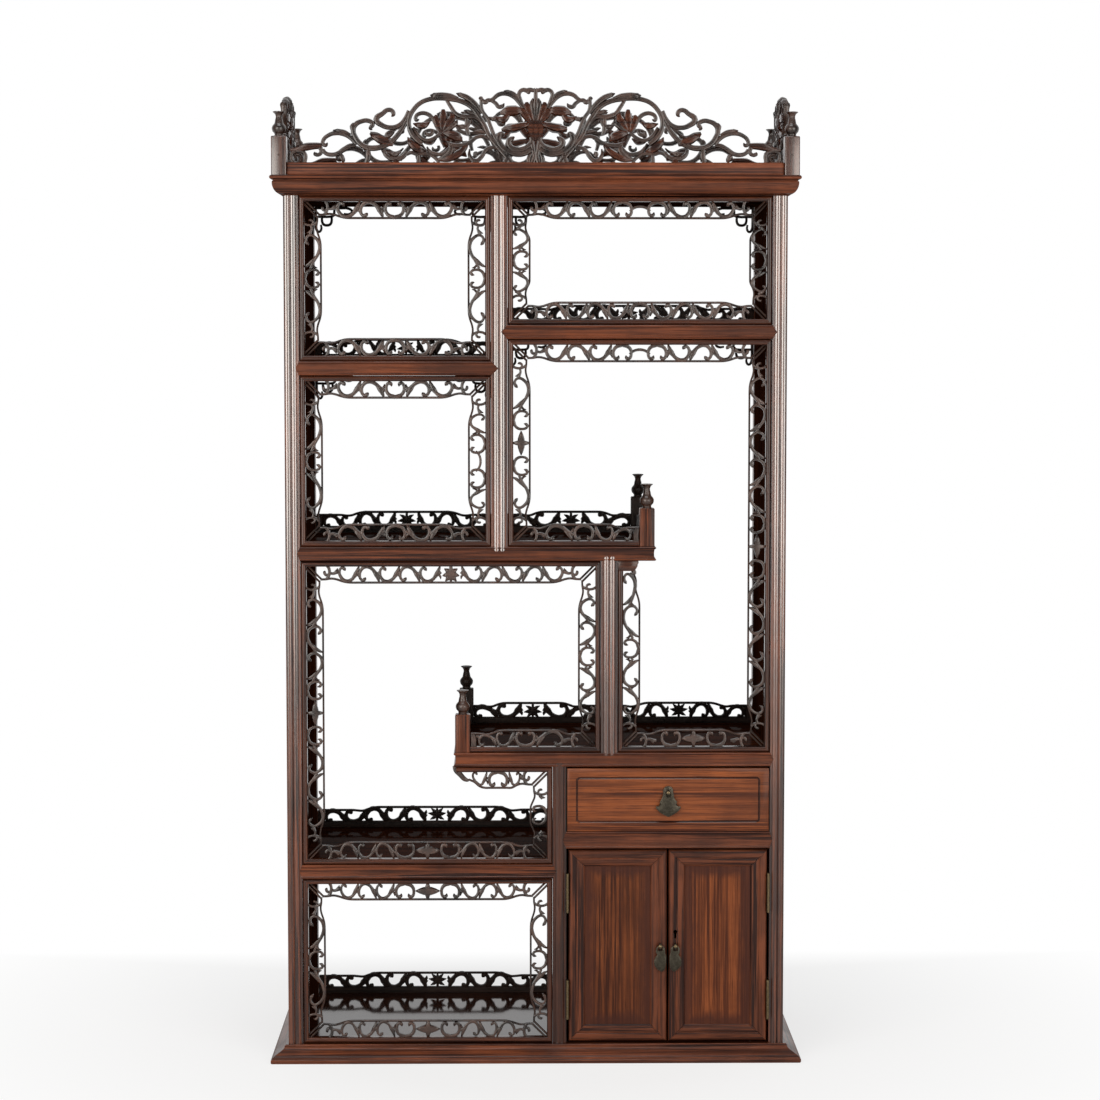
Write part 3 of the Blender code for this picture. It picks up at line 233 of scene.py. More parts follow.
# Horn under the stepped shelf's free end in mm, where the fret begins beside it, and where its tip hangs
HORN = [
    (0.8, 0.5, 2.4), (2.4, -4.4, 3.0), (7.4, -9.6, 3.0), (12.4, -14.8, 2.7), (16.2, -16.0, 1.8),
    (18.4, -14.8, 0.8),
]
HORN_START = 0.003
HORN_TIP = 0.0146

# Rear galleries: weight of the inner bead, share of the length before the swell, leaf's scale and weight,
# height of the solid foot and its rounding
GALLERY_BEAD = 1.2
GALLERY_STEP = 0.19
GALLERY_LEAF_SCALE = 1.15
GALLERY_LEAF_WEIGHT = 0.58
GALLERY_FOOT = 0.0074
FOOT_ROUNDING = 0.0008

# Key-pattern bracket in mm: inward from the wall, down from the top, half width
KEY = [
    [(0, 1.6, 1.6), (16, 1.6, 1.7), (32, 1.6, 1.7), (42, 2.4, 1.7), (45.4, 5.6, 1.6), (42, 8.8, 1.6),
     (35.5, 8.4, 1.3)],
    [(1.6, 0, 1.6), (1.6, 10, 1.7), (1.6, 20, 1.7), (2.4, 27, 1.7), (5.4, 30, 1.6), (8.2, 27, 1.5),
     (7.8, 21.5, 1.2)],
    [(0, 11.9, 1.5), (8, 11.9, 1.6), (18, 11.9, 1.6), (23, 10.6, 1.6), (24, 6, 1.6), (24, 0, 1.5)],
    [(9.4, 11.4, 1.4), (9.2, 17, 1.6), (11, 21, 1.7), (15, 22.2, 1.7), (19, 21, 1.7), (20.8, 17, 1.6),
     (20.6, 11.4, 1.4)],
]

# Half of the crest in mm: distance from its middle, height over its rail, half width of the stroke
CREST_END = [
    [(265, 5, 0.8), (267.5, 6, 1.0), (266, 8.6, 1.1), (262, 7.5, 1.2), (261.5, 2.5, 1.2),
     (267, -0.5, 1.2), (271.5, 3, 1.3), (270.5, 10.5, 1.4), (263, 12.8, 1.5), (257, 10, 1.4),
     (256.5, 2, 1.3), (259, -2.5, 1.2), (268, -3.2, 1.1), (273.5, -1, 0.8)],
    [(273, 13.5, 1.0), (265, 14.5, 2.4), (255, 17.2, 3.8), (246, 18.2, 3.2), (238, 18.4, 2.6)],
    [(240, 17, 2.0), (238.6, 12, 1.6), (241.5, 8.6, 1.5), (245.5, 9.6, 1.7), (246, 11.6, 0.6)],
    [(231.5, 21.8, 0.6), (233.6, 19.2, 1.7), (236.6, 20.4, 1.5), (236, 25, 1.5), (230.5, 30, 1.6),
     (222.8, 32.4, 1.9), (213.5, 31.2, 1.8), (205.5, 27, 1.9), (199, 20, 2.0)],
    [(225.6, 35.6, 0.5), (221, 34.8, 1.9), (213, 33.6, 1.8), (206, 30.2, 1.0)],
    [(237, 14, 1.6), (234, 10.4, 1.6), (228, 8.6, 1.8), (220.5, 9.8, 1.9), (213.5, 14.4, 2.1),
     (206.5, 18.4, 2.0), (200, 19.4, 1.5)],
    [(217, 11, 0.8), (216.4, 7, 2.4), (214.6, 3, 2.0), (213.8, 0.5, 1.0)],
    [(186.5, 15, 1.4), (186.2, 8, 2.4), (187, 3, 2.2), (188.4, 0, 1.6)],
    [(181.8, 35.8, 0.6), (183.6, 37.8, 1.7), (181.2, 42.4, 1.8), (186, 46, 1.9), (193.8, 45.4, 1.9),
     (200.4, 41.8, 2.2), (203, 35.4, 2.2), (200.4, 27.6, 2.2), (196, 21.4, 2.3), (189, 17, 2.4),
     (180.4, 15.8, 2.6), (170.4, 17.8, 2.4), (161.3, 22.6, 2.3), (154.2, 29.6, 2.2), (148.2, 37.6, 2.0),
     (143.2, 46.6, 1.6)],
    [(201.6, 43.4, 1.0), (203.6, 39.6, 2.6), (202.6, 34, 1.6)],
    [(160.4, 50.6, 0.6), (158.4, 52.8, 1.7), (159.2, 56.6, 1.8), (164.4, 58, 1.9), (170, 54.2, 2.0),
     (177.2, 47.6, 2.8), (171, 41.2, 2.2), (161.4, 38.6, 2.0), (152.2, 41, 1.8), (145.4, 47.8, 1.8),
     (141, 57, 1.6)],
    [(184.6, 32, 0.6), (180.6, 29.2, 2.4), (173.4, 26, 4.6), (165.4, 22.4, 4.2), (158.6, 20, 1.6)],
    [(184, 32.6, 1.0), (176.6, 31.4, 1.2), (168.8, 28, 1.1), (162.6, 29, 1.1), (157.4, 33.4, 0.9)],
    [(169.4, 14.4, 1.0), (167.4, 9, 1.7), (162.4, 5.2, 2.0), (155, 4.2, 2.2), (148, 6.2, 2.0),
     (143.4, 11.6, 1.6)],
    [(164.8, 10.6, 0.6), (157.4, 9.2, 2.6), (149.6, 11.4, 0.8)],
    [(155.4, 3, 2.4), (155.6, 0.4, 3.4)],
]
CREST_MIDDLE = [
    [(126.4, 20.6, 2.0), (131.6, 25, 2.6), (137.4, 31, 2.4), (141, 40.6, 2.0), (140.6, 48.8, 1.9),
     (136, 58, 1.9), (127.8, 66, 1.9), (117.5, 70, 2.0), (107.2, 71.2, 2.2), (94.8, 70.2, 2.2),
     (82.5, 67.6, 2.2), (71.4, 61.4, 2.2), (63.9, 51.9, 2.2), (56.9, 40.6, 2.0), (52.4, 30.4, 2.0),
     (45.4, 21.2, 2.2), (36.4, 11, 2.4), (29.9, 3.6, 2.6), (27, 0, 2.2)],
    [(117.4, 74.4, 0.5), (113.6, 73.8, 2.6), (105, 74, 2.9), (95, 73.2, 2.5), (86, 70.4, 1.2)],
    [(88.4, 76.4, 0.5), (84.6, 75, 2.0), (76.3, 71.6, 2.6), (66.6, 63.6, 2.4), (59.8, 54.4, 1.2)],
    [(142.4, 28, 0.6), (139.6, 22.6, 3.0), (133.6, 17, 4.4), (127.4, 13.4, 3.2), (121.6, 12.6, 0.8)],
    [(129.6, 47.6, 0.6), (132.6, 46.8, 1.6), (133.2, 50.6, 1.5), (129, 54, 1.6), (121.6, 54, 1.7),
     (115.4, 49.8, 1.7), (111.3, 42.6, 1.6), (107.6, 34.5, 1.4)],
    [(136.4, 43, 0.6), (131, 41.4, 2.6), (124.4, 41, 3.4), (117.4, 45, 0.8)],
    [(136.4, 38.6, 1.1), (130, 29.6, 1.3), (121.6, 24.6, 1.4), (112.3, 27.3, 1.4), (105.2, 33.4, 1.3)],
    [(122.4, 35, 0.6), (121.6, 31.8, 1.5), (118.4, 30.6, 1.7), (115, 33, 1.5), (115.6, 36.4, 1.0)],
    [(104.4, 33.4, 1.4), (108.4, 41, 3.6), (111, 48, 3.4), (110.4, 52.4, 1.0)],
    [(104, 33.4, 1.4), (103.8, 44, 4.0), (102.6, 53, 3.6), (103, 58.6, 1.2)],
    [(103.6, 33.6, 1.4), (97.6, 43, 4.0), (92.6, 50.4, 3.4), (93.6, 54.6, 1.0)],
    [(103.4, 33.4, 1.0), (94.8, 39.4, 3.0), (89, 43.6, 2.2), (87, 47.2, 0.6)],
    [(102.6, 33, 1.4), (95.4, 31.6, 4.6), (87.6, 28.4, 5.0), (81.4, 23.2, 0.8)],
    [(98.9, 68.6, 1.2), (94, 61, 1.6), (88.6, 53.9, 1.7), (78.3, 50.4, 2.4), (67.6, 50.4, 1.8),
     (59.8, 44.7, 1.2)],
    [(80, 57.6, 0.4), (76, 56.6, 1.6), (69, 54, 1.6), (64.4, 50.6, 0.8)],
    [(77, 50, 1.4), (76.6, 44, 1.8), (76.6, 38, 1.9), (74.6, 30.4, 1.2)],
    [(88, 41.4, 0.6), (82, 39.6, 2.2), (76.6, 40.6, 1.8), (72, 45.4, 1.6), (70.4, 44, 0.8)],
    [(68.6, 34.4, 0.6), (62, 34.6, 1.6), (56, 33, 1.0)],
    [(100, 23, 0.8), (95.8, 20.2, 1.9), (84.5, 19, 1.5), (73.2, 22.4, 1.5), (65, 28.2, 1.5),
     (55.7, 28.2, 1.4), (47.6, 23.6, 1.2)],
    [(109.4, 2.4, 1.2), (101, 6.6, 2.6), (94.4, 13.4, 3.0), (95.4, 20.4, 1.4)],
    [(108.6, 2.6, 1.0), (96.6, 4.6, 3.4), (86.4, 9.6, 3.6), (78.6, 16.6, 2.2), (75, 22.4, 0.8)],
    [(143.6, 9, 1.2), (138.6, 11, 1.5), (131.9, 9.2, 1.5), (122.6, 10, 1.4), (115.4, 7.8, 1.4),
     (107, 0.6, 1.6)],
    [(130.4, 8.6, 1.2), (130.6, 0.2, 1.8)],
    [(121, 17.4, 0.8), (119, 13.4, 1.3), (112.3, 9.8, 1.5), (103, 9.8, 1.5), (96, 16, 1.1)],
    [(64.6, 10.4, 1.0), (67.6, 9.8, 1.7), (66.6, 6.4, 1.2)],
    [(73.6, 15, 0.8), (73.4, 7, 1.5), (67, 1.8, 1.9), (60, 6.8, 1.7), (55.6, 13.6, 1.6),
     (48.4, 16.8, 1.4), (41.6, 15.4, 1.2)],
    [(66.4, 1.6, 1.6), (66.4, -0.4, 2.6)],
    [(63.4, 70.6, 0.8), (61, 70.8, 2.0), (60.6, 64, 1.3), (59.4, 57.4, 1.4), (53.7, 48.8, 1.5),
     (50.4, 40.6, 1.5), (46.4, 30.4, 1.6), (40.4, 20.2, 1.6), (35, 14, 1.4)],
    [(60.6, 70.6, 1.0), (56.4, 66.8, 2.2), (53, 68.8, 1.7), (49.4, 69, 1.5), (41.3, 75, 1.8),
     (33.1, 76.2, 1.9), (24.8, 73, 1.9), (18.7, 67, 1.8), (13.6, 60, 1.6)],
    [(35.4, 79.2, 0.5), (31.6, 78.4, 1.5), (24.4, 75.6, 1.8), (18.6, 70, 1.0)],
    [(49.2, 68.4, 1.2), (44.4, 65.4, 1.6), (41, 61.6, 1.8), (37, 62.4, 1.7), (35, 65.4, 0.6)],
    [(13.6, 57.4, 1.6), (22, 57.4, 5.0), (31, 56.6, 5.4), (39.4, 54.6, 1.4)],
    [(30, 53, 1.6), (35.6, 47.6, 3.6), (40.4, 48.2, 2.4), (45.6, 51, 0.8)],
    [(52.4, 50.6, 0.4), (48, 48, 1.8), (44.2, 48.8, 1.4)],
    [(6, 43, 1.6), (16, 40.6, 3.4), (25, 38.4, 4.0), (35, 37.8, 1.2)],
    [(1, 24, 2.4), (2.4, 31, 5.6), (3, 38, 7.0), (1, 46, 5.0)],
    [(2.4, 44, 1.6), (6.4, 54, 3.4), (9.6, 62, 3.6), (10, 66.6, 1.2)],
    [(3.4, 43, 1.6), (9.4, 50, 3.6), (14.6, 56.5, 3.6), (17.6, 61, 1.0)],
    [(1.2, 44, 1.0), (2.6, 56, 2.6), (4, 66, 2.2), (3.2, 71, 0.6)],
    [(0.6, 44, 1.4), (0.2, 62, 2.2), (0, 74, 1.6), (0, 81, 1.5)],
    [(14, 62, 1.4), (17, 69, 1.6), (18.4, 76.4, 1.6), (14.6, 80.2, 1.6), (9.6, 79.6, 2.0),
     (6.2, 80.4, 1.8), (2.4, 79.8, 1.6), (0, 80.8, 1.2)],
    [(10.2, 79.2, 1.4), (7.4, 77.8, 1.8), (5.8, 78.4, 0.8)],
    [(23.6, 28.4, 0.8), (26.6, 26.4, 2.2), (30, 23.4, 2.6), (28.8, 18.2, 2.4), (22.8, 14.8, 2.4),
     (14.5, 15, 2.2), (6.3, 20.2, 2.2), (2.4, 27, 2.0)],
    [(35.4, 28.4, 0.8), (38, 31.4, 2.6), (41.6, 27, 3.0), (39.6, 20.6, 3.0), (33.8, 14.4, 3.0),
     (23.8, 10.1, 2.8), (13.5, 10, 2.6), (4.2, 14.8, 2.2)],
    [(3.8, 33, 1.8), (4.4, 24, 2.2), (2.6, 14, 2.0), (1.6, 6, 2.0), (3.4, 0, 2.4)],
    [(5, 10, 1.2), (7.6, 5.6, 1.6), (8.2, 0.2, 1.8)],
    [(31, 10.4, 1.4), (31.6, 5.6, 2.8), (33.4, 0, 3.2)],
]

# Crest: half width in mm from which a stem gains, half widths from which a stroke is a leaf and has a rib,
# and the rib's share of the stroke's width with its greatest half width
STEM_WIDTH = 0.9
LEAF_WIDTH = 0.0040
RIBBED_WIDTH = 0.0019
RIB_SHARE = 0.24
RIB_WIDTH = 0.0008

# Rail under a crest: height, thickness, rounding
CREST_RAIL = 0.014
CREST_RAIL_THICKNESS = 0.0078
CREST_RAIL_ROUNDING = 0.0006

# Gable in mm: reach of the crest's middle, where the crest's end scrolls begin and where the crest ends
GABLE_MIDDLE = 76
GABLE_END_START = 198
CREST_REACH = 274

# Square posts: width, height and rounding; the peg in a corner post: height, radii and length
POST_WIDTH = 0.017
POST_HEIGHT = 0.043
POST_ROUNDING = 0.0014
PEG_HEIGHT = 0.022
PEG_RADII = (0.0013, 0.0011)
PEG_LENGTH = 0.0010

# Turned finial in mm: radius and height over the post
FINIAL = [
    (0.0, -1.0), (5.6, -1.0), (5.6, 0.4), (4.9, 1.2), (4.9, 2.4), (5.6, 3.4), (7.2, 5.2), (7.9, 7.6),
    (7.9, 9.4), (7.2, 11.4), (5.8, 13.0), (4.9, 14.2), (4.5, 16.0), (4.2, 18.0), (3.6, 20.0),
    (3.5, 22.0), (4.2, 24.0), (5.6, 25.6), (6.8, 26.4), (6.8, 27.1), (5.0, 27.5), (0.0, 27.8),
]

# Plates in mm, out from the middle and down from the eye: half of the drawer's drop, half of its head plate,
# and the whole of the left door's drop
DRAWER_DROP = [
    (2.2, -1.2), (4.8, 0.4), (5.8, 2.6), (6.6, 5.0), (8.0, 7.6), (9.6, 9.6), (9.8, 11.0), (8.8, 12.6),
    (8.6, 13.6), (10.8, 14.6), (13.6, 15.2), (14.2, 16.6), (12.4, 19.6), (9.0, 22.6), (4.4, 25.2),
    (0.8, 27.0),
]
DRAWER_HEAD = [
    (1.6, -7.4), (3.6, -6.6), (5.0, -4.6), (5.6, -2.0), (5.8, 1.0), (6.4, 4.0), (7.6, 7.0), (8.4, 9.0),
]
DOOR_DROP = [
    (-2.4, -1.4), (-4.6, 2.0), (-5.0, 6.0), (-3.4, 9.4), (-5.6, 12.0), (-7.0, 16.6), (-6.4, 21.6),
    (-3.6, 25.6), (1.4, 29.0), (4.6, 27.0), (6.4, 22.8), (6.9, 17.0), (6.9, 10.6), (5.4, 6.8),
    (5.6, 2.6), (2.6, -1.4),
]

# Plates: thickness of a drop and of the drawer's head plate, share of it that is rounded, angle in radians
# from which an edge is rounded, and stand-off of the head plate
DROP_THICKNESS = 0.0014
HEAD_THICKNESS = 0.0010
PLATE_ROUNDING = 0.3
PLATE_SHARP = 1.0
HEAD_STAND_OFF = 0.0021

# Pins: half width and ends of the slot under a pin, then the head's radius, flatness, stand-off and rise
PIN_ROOM = 0.0027
SLOT_ENDS = (0.0010, 0.0046)
PIN_RADIUS = 0.0025
PIN_FLATNESS = 0.6
PIN_STAND_OFF = 0.0026
PIN_RISE = 0.0006

# Base in mm: heights of its foot with set-backs from its full reach, the height and set-back where its ogee
# starts, then places under its top with their projections: the ogee's end, the swell's start and end
BASE_FOOT = [(0, 1.0), (0.6, 0.6), (1.4, 0), (4.2, 0), (4.8, 0.6)]
BASE_OGEE_START = (5.0, 1.4)
BASE_OGEE_END = (-2.2, 4.2)
BASE_SWELL = [(-1.6, 4.6), (0, 3.0)]

# Cornice in mm: heights and projections of its underside; the quarter round over it by its start, its rise,
# its inner projection and what its reach lacks, with first and last turn in degrees and steps; drops from the
# top with set-backs from its full reach
CORNICE_UNDERSIDE = [(0, 1.2), (0.6, 1.8)]
CORNICE_ROUND = (1.0, 13.2, 1.2, 3.8)
CORNICE_ROUND_TURNS = (8, 90, 8)
CORNICE_TOP = [(6.6, 3.0), (5.8, 4.0), (4.8, 3.6), (4.2, 1.2), (3.4, 0.2), (2.2, 0), (0.8, 0.5), (0, 1.4)]

# Boards: piece, node, upright and reach in mm of the point let into it, at the left and at the right end
RAILS = [
    ("upper_left_board", "upper_left_shelf", "left_front_stile", 3.6, "upper_divider", 8.4),
    ("upper_right_board", "upper_right_shelf", "upper_divider", 7.2, "right_front_stile", 5.2),
    ("middle_board", "middle_shelf", "left_front_stile", 3.6, None, 0),
    ("stepped_board", "stepped_shelf", None, 0, "right_front_stile", 4.4),
    ("lower_left_board", "lower_left_shelf", "left_front_stile", 3.0, "lower_divider", 4.4),
    ("rail_under_drawer", "drawer_rail", "lower_divider", 4.6, "right_front_stile", 3.4),
]

# Edge of a board: bead in mm as heights and set-backs, then the set-back and depth of the hollow
BOARD_BEAD = [(0, 1.6), (0.4, 0.6), (1.2, 0), (2.1, 0.3), (2.9, 1.1), (3.0, 1.7)]
HOLLOW_SETBACK = 0.0017
HOLLOW_DEPTH = 0.0006
HOLLOW_STEPS = 8

# Depth of the housing of a rail's point in an upright
HOUSING = 0.0026

# Front of an upright: rise and steps of a reed, width and set-back of the fillet beside it
REED = 0.0015
REED_STEPS = 8
FILLET = 0.0025
FILLET_SETBACK = 0.55 * REED

# Posts between cells: piece, node, and how far its reeds run out in tips, below and above
POSTS = [
    ("upper_post", "upper_divider", (0.0052, 0)),
    ("middle_post", "middle_divider", (0.003, 0.0052)),
]
LOWER_POST_TIPS = (0, 0.0045)

# Thickness of the partition behind a post
PARTITION = 0.008

# Drawer front: play over it, the scribed line's place, corner rounding, half width and depth, and the margin
# outside which no face belongs to the line
DRAWER_PLAY = 0.0010
SCRIBE_INSET = 0.0130
SCRIBE_CORNER = 0.0045
SCRIBE_HALF = 0.0013
SCRIBE_DEPTH = 0.0010
DRAWER_MARGIN = 0.005

# Face of a door frame's length: share of its width from the outer edge, depth in mm
FRAME_PROFILE = [
    (0.0, 2.2), (0.03, 0.9), (0.08, 0.2), (0.13, 0.0), (0.44, 0.0), (0.46, 0.5), (0.48, 0.6),
    (0.50, 0.4), (0.55, 0.1), (0.66, 0.0), (0.76, 0.2), (0.86, 0.9), (0.94, 2.0), (1.0, 4.2),
]

# Width of a door frame's lengths
DOOR_FRAME = 0.0193

# Open seam of a door's mitre, and the share of the width from which it shows
MITRE_SEAM = 0.0003
SEAM_START = 0.4

# Tone of the panel in each door
PANEL_TONES = (("left", 0.64), ("right", 0.97))

# Darkened border of a door panel: where it begins and is full, in from the edge, how far it strays, its share
# over the panel's colour and its tone
BORDER = (0.0195, 0.0105)
BORDER_STRAY = 0.004
BORDER_SHARE = 0.8
BORDER_TONE = 2.3

# Keyhole: rise over the eye, radius, half width and drop of the slit, half of the round's gap in degrees
KEYHOLE_RISE = 0.012
KEYHOLE_RADIUS = 0.0025
KEYHOLE_HALF = 0.0013
KEYHOLE_DROP = 0.0076
KEYHOLE_GAP = 30

# Lamps: name, place, aim, size, power, tint
LAMPS = [
    ("key_light", (-1.6, -2.75, 1.06), (0, 0, 0.80), (1.9, 1.8), 64, (1.0, 0.94, 0.87)),
    ("fill_light", (1.6, -2.75, 1.06), (0, 0, 0.80), (1.9, 1.8), 52, (1.0, 0.95, 0.89)),
    ("top_light", (-0.2, -0.9, 3.2), (0, 0, 0.5), (1.6, 1.0), 24, (1.0, 1.0, 1.0)),
]

# Camera: place with its distance from the front, lens and sensor in mm, tilt and turn in degrees, far limit
CAMERA_X = -0.020
CAMERA_DISTANCE = 3.146
CAMERA_HEIGHT = 0.8136
CAMERA_LENS = 91.64
CAMERA_SENSOR = 36
CAMERA_TILT = 4.187
CAMERA_TURN = 0.655
CAMERA_LIMIT = 50

# Strength of the soft light all round, half of the floor's side, and where the floor turns white: behind the
# cabinet, and away from it with the least share
WORLD_LIGHT = 0.22
FLOOR_HALF = 30
WHITE_BEHIND = (-0.10, 0.45)
WHITE_AWAY = (0.25, 0.9)
WHITE_LEAST = 0.7


class CabinetSizes(bpy.types.PropertyGroup):
    """Sizes of the carving and of the edges."""

    fret_depth: FloatProperty(
        name="Fret depth", description="Depth of a fret at its corners", default=0.0222, unit="LENGTH"
    )
    fret_swell: FloatProperty(
        name="Fret swell",
        description="How much deeper a fret is over its middle",
        default=0.0036,
        unit="LENGTH",
    )
    bead_width: FloatProperty(
        name="Cell bead",
        description="Width of the rounded bead round a cell",
        default=0.0062,
        unit="LENGTH",
    )
    inner_bead: FloatProperty(
        name="Inner bead",
        description="Half width of the thin inner edge of a fret",
        default=0.00130,
        unit="LENGTH",
    )
    strand_weight: FloatProperty(
        name="Strand weight", description="How heavy the strands of a front fret are drawn", default=1.45
    )
    gallery_weight: FloatProperty(
        name="Gallery weight",
        description="How heavy the strands of a rear gallery are drawn",
        default=1.95,
    )
    relief: FloatProperty(
        name="Relief",
        description="Half depth that a carved strand comes near to",
        default=0.0029,
        unit="LENGTH",
    )
    curl_pitch: FloatProperty(
        name="Curl pitch",
        description="Wanted length of one curl of the vine",
        default=0.0235,
        unit="LENGTH",
    )
    crest_relief: FloatProperty(
        name="Crest relief", description="Half depth of the carved crest", default=0.0042, unit="LENGTH"
    )
    crest_gain: FloatProperty(
        name="Crest gain",
        description="What the stems of the crest gain in half width, in mm",
        default=0.7,
    )
    edge: FloatProperty(
        name="Edge", description="Rounding of sharp wooden edges", default=0.0006, unit="LENGTH"
    )
    strand_sides: IntProperty(
        name="Strand sides", description="Bevel steps of a carved strand", default=2, min=1, max=4
    )


class CabinetColours(bpy.types.PropertyGroup):
    """Colours of the woods, the metals and the floor."""

    rail_dark: FloatVectorProperty(
        name="Rail dark",
        description="Dark streaks of the frame",
        subtype="COLOR",
        default=(0.017, 0.0048, 0.0029),
    )
    rail_light: FloatVectorProperty(
        name="Rail light",
        description="Light streaks of the frame",
        subtype="COLOR",
        default=(0.158, 0.0455, 0.0190),
    )
    fret_dark: FloatVectorProperty(
        name="Carving dark",
        description="Dark tone of the carving",
        subtype="COLOR",
        default=(0.0085, 0.0046, 0.0036),
    )
    fret_light: FloatVectorProperty(
        name="Carving light",
        description="Light tone of the carving",
        subtype="COLOR",
        default=(0.062, 0.028, 0.018),
    )
    panel_dark: FloatVectorProperty(
        name="Panel dark",
        description="Dark streaks of the panels",
        subtype="COLOR",
        default=(0.052, 0.0125, 0.0046),
    )
    panel_light: FloatVectorProperty(
        name="Panel light",
        description="Light streaks of the panels",
        subtype="COLOR",
        default=(0.232, 0.064, 0.0185),
    )
    lining_dark: FloatVectorProperty(
        name="Lining dark",
        description="Dark streaks of the lining",
        subtype="COLOR",
        default=(0.20, 0.105, 0.05),
    )
    lining_light: FloatVectorProperty(
        name="Lining light",
        description="Light streaks of the lining",
        subtype="COLOR",
        default=(0.37, 0.22, 0.115),
    )
    bronze: FloatVectorProperty(
        name="Bronze",
        description="Toned metal of the pulls",
        subtype="COLOR",
        default=(0.038, 0.034, 0.026),
    )
    brass: FloatVectorProperty(
        name="Brass",
        description="Rubbed metal of hinges and pins",
        subtype="COLOR",
        default=(0.20, 0.15, 0.085),
    )
    floor: FloatVectorProperty(
        name="Floor", description="Pale floor", subtype="COLOR", default=(0.84, 0.84, 0.835)
    )


def sizes():
    """The scene's sizes."""
    return bpy.context.scene.cabinet_sizes


def colours():
    """The scene's colours."""
    return bpy.context.scene.cabinet_colours


# Finishes


def add_node(tree, kind, **inputs):
    """A shader node with values on its named inputs."""
    node = tree.nodes.new(kind)
    for name, value in inputs.items():
        node.inputs[name.replace("_", " ")].default_value = value
    return node


def streaks(tree, scale, detail, roughness):
    """Noise in Object coordinates, stretched by a scale for each axis."""
    place = tree.nodes.new("ShaderNodeTexCoord")
    mapping = add_node(tree, "ShaderNodeMapping", Scale=scale)
    noise = add_node(tree, "ShaderNodeTexNoise", Scale=1.0, Detail=detail, Roughness=roughness)
    tree.links.new(place.outputs["Object"], mapping.inputs["Vector"])
    tree.links.new(mapping.outputs["Vector"], noise.inputs["Vector"])
    return noise.outputs["Fac"]


def axes(tree, kind="Object"):
    """The X, Y and Z outputs of a kind of coordinates."""
    place = tree.nodes.new("ShaderNodeTexCoord")
    apart = tree.nodes.new("ShaderNodeSeparateXYZ")
    tree.links.new(place.outputs[kind], apart.inputs["Vector"])
    return apart.outputs


def ranged(tree, source, low, high, to_low, to_high):
    """A value carried from one range to another."""
    node = add_node(tree, "ShaderNodeMapRange", From_Min=low, From_Max=high, To_Min=to_low, To_Max=to_high)
    tree.links.new(source, node.inputs["Value"])
    return node.outputs["Result"]


def blended(tree, share, first, second):
    """Two colours or colour outputs mixed by a value."""
    node = tree.nodes.new("ShaderNodeMix")
    node.data_type = "RGBA"
    tree.links.new(share, node.inputs["Factor"])
    for socket, value in ((node.inputs[6], first), (node.inputs[7], second)):
        if isinstance(value, bpy.types.NodeSocket):
            tree.links.new(value, socket)
        else:
            socket.default_value = (*value, 1.0)
    return node.outputs[2]


def worked(tree, operation, first, second):
    """The result of a sum on one output and on another output or a number."""
    node = tree.nodes.new("ShaderNodeMath")
    node.operation = operation
    tree.links.new(first, node.inputs[0])
    if isinstance(second, bpy.types.NodeSocket):
        tree.links.new(second, node.inputs[1])
    else:
        node.inputs[1].default_value = second
    return node.outputs[0]


def tinted(tone, share):
    """A colour made darker or lighter by a share."""
    return tuple(value * share for value in tone)


def new_finish(name):
    """An empty finish: its node tree and its shader."""
    material = bpy.data.materials.new(name)
    material.use_nodes = True
    return material, material.node_tree, material.node_tree.nodes["Principled BSDF"]


def add_bump(tree, shader, height, strength, distance):
    """Bump from a height value."""
    bump = add_node(tree, "ShaderNodeBump", Strength=strength, Distance=distance)
    tree.links.new(height, bump.inputs["Height"])
    tree.links.new(bump.outputs["Normal"], shader.inputs["Normal"])


def wood_tone(tree, along, dark, light):
    """Colour of streaky hardwood along one axis, with the pores and the clouds in it."""
    axis = "XYZ".index(along)

    def stretched(across, length):
        scale = [across] * 3
        scale[axis] = length
        return tuple(scale)

    broad = ranged(tree, streaks(tree, stretched(60, 1.8), 3.0, 0.6), 0.44, 0.57, 0.0, 1.0)
    figure = ranged(tree, streaks(tree, stretched(330, 5.0), 4.0, 0.7), 0.455, 0.57, 0.0, 1.0)
    pores = ranged(tree, streaks(tree, stretched(1150, 26.0), 2.0, 0.6), 0.56, 0.72, 0.0, 1.0)
    cloud = ranged(tree, streaks(tree, (13, 13, 13), 4.0, 0.6), 0.35, 0.7, 0.0, 1.0)
    middle = tuple((a + b) / 2 for a, b in zip(dark, light))
    tone = blended(tree, broad, dark, middle)
    tone = blended(tree, figure, tone, light)
    tone = blended(tree, ranged(tree, pores, 0.0, 1.0, 0.0, 0.75), tone, tinted(dark, 0.35))
    tone = blended(tree, ranged(tree, cloud, 0.0, 1.0, 0.0, 0.62), tone, dark)
    return tone, pores, cloud


def wood(name, along, dark, light, gloss, coat, density=1.5, sheen=0.17):
    """Hardwood with streaks along one axis, pores, uneven shine and a coat of wax."""
    key = name + "_" + along.lower()
    if key in bpy.data.materials:
        return bpy.data.materials[key]
    material, tree, shader = new_finish(key)
    tone, pores, cloud = wood_tone(tree, along, dark, light)
    tree.links.new(tone, shader.inputs["Base Color"])
    tree.links.new(ranged(tree, cloud, 0.0, 1.0, gloss - 0.06, gloss + 0.12), shader.inputs["Roughness"])
    shader.inputs["Specular IOR Level"].default_value = 0.15 if coat else 0.0
    shader.inputs["Coat Weight"].default_value = coat
    shader.inputs["Coat Roughness"].default_value = sheen
    shader.inputs["Coat IOR"].default_value = density
    add_bump(tree, shader, ranged(tree, pores, 0.0, 1.0, 1.0, 0.0), 0.25, 0.0004)
    return material


def frame_shades(dark, light):
    """The frame's dark and light colour, each times a share."""
    return tinted(colours().rail_dark, dark), tinted(colours().rail_light, light)


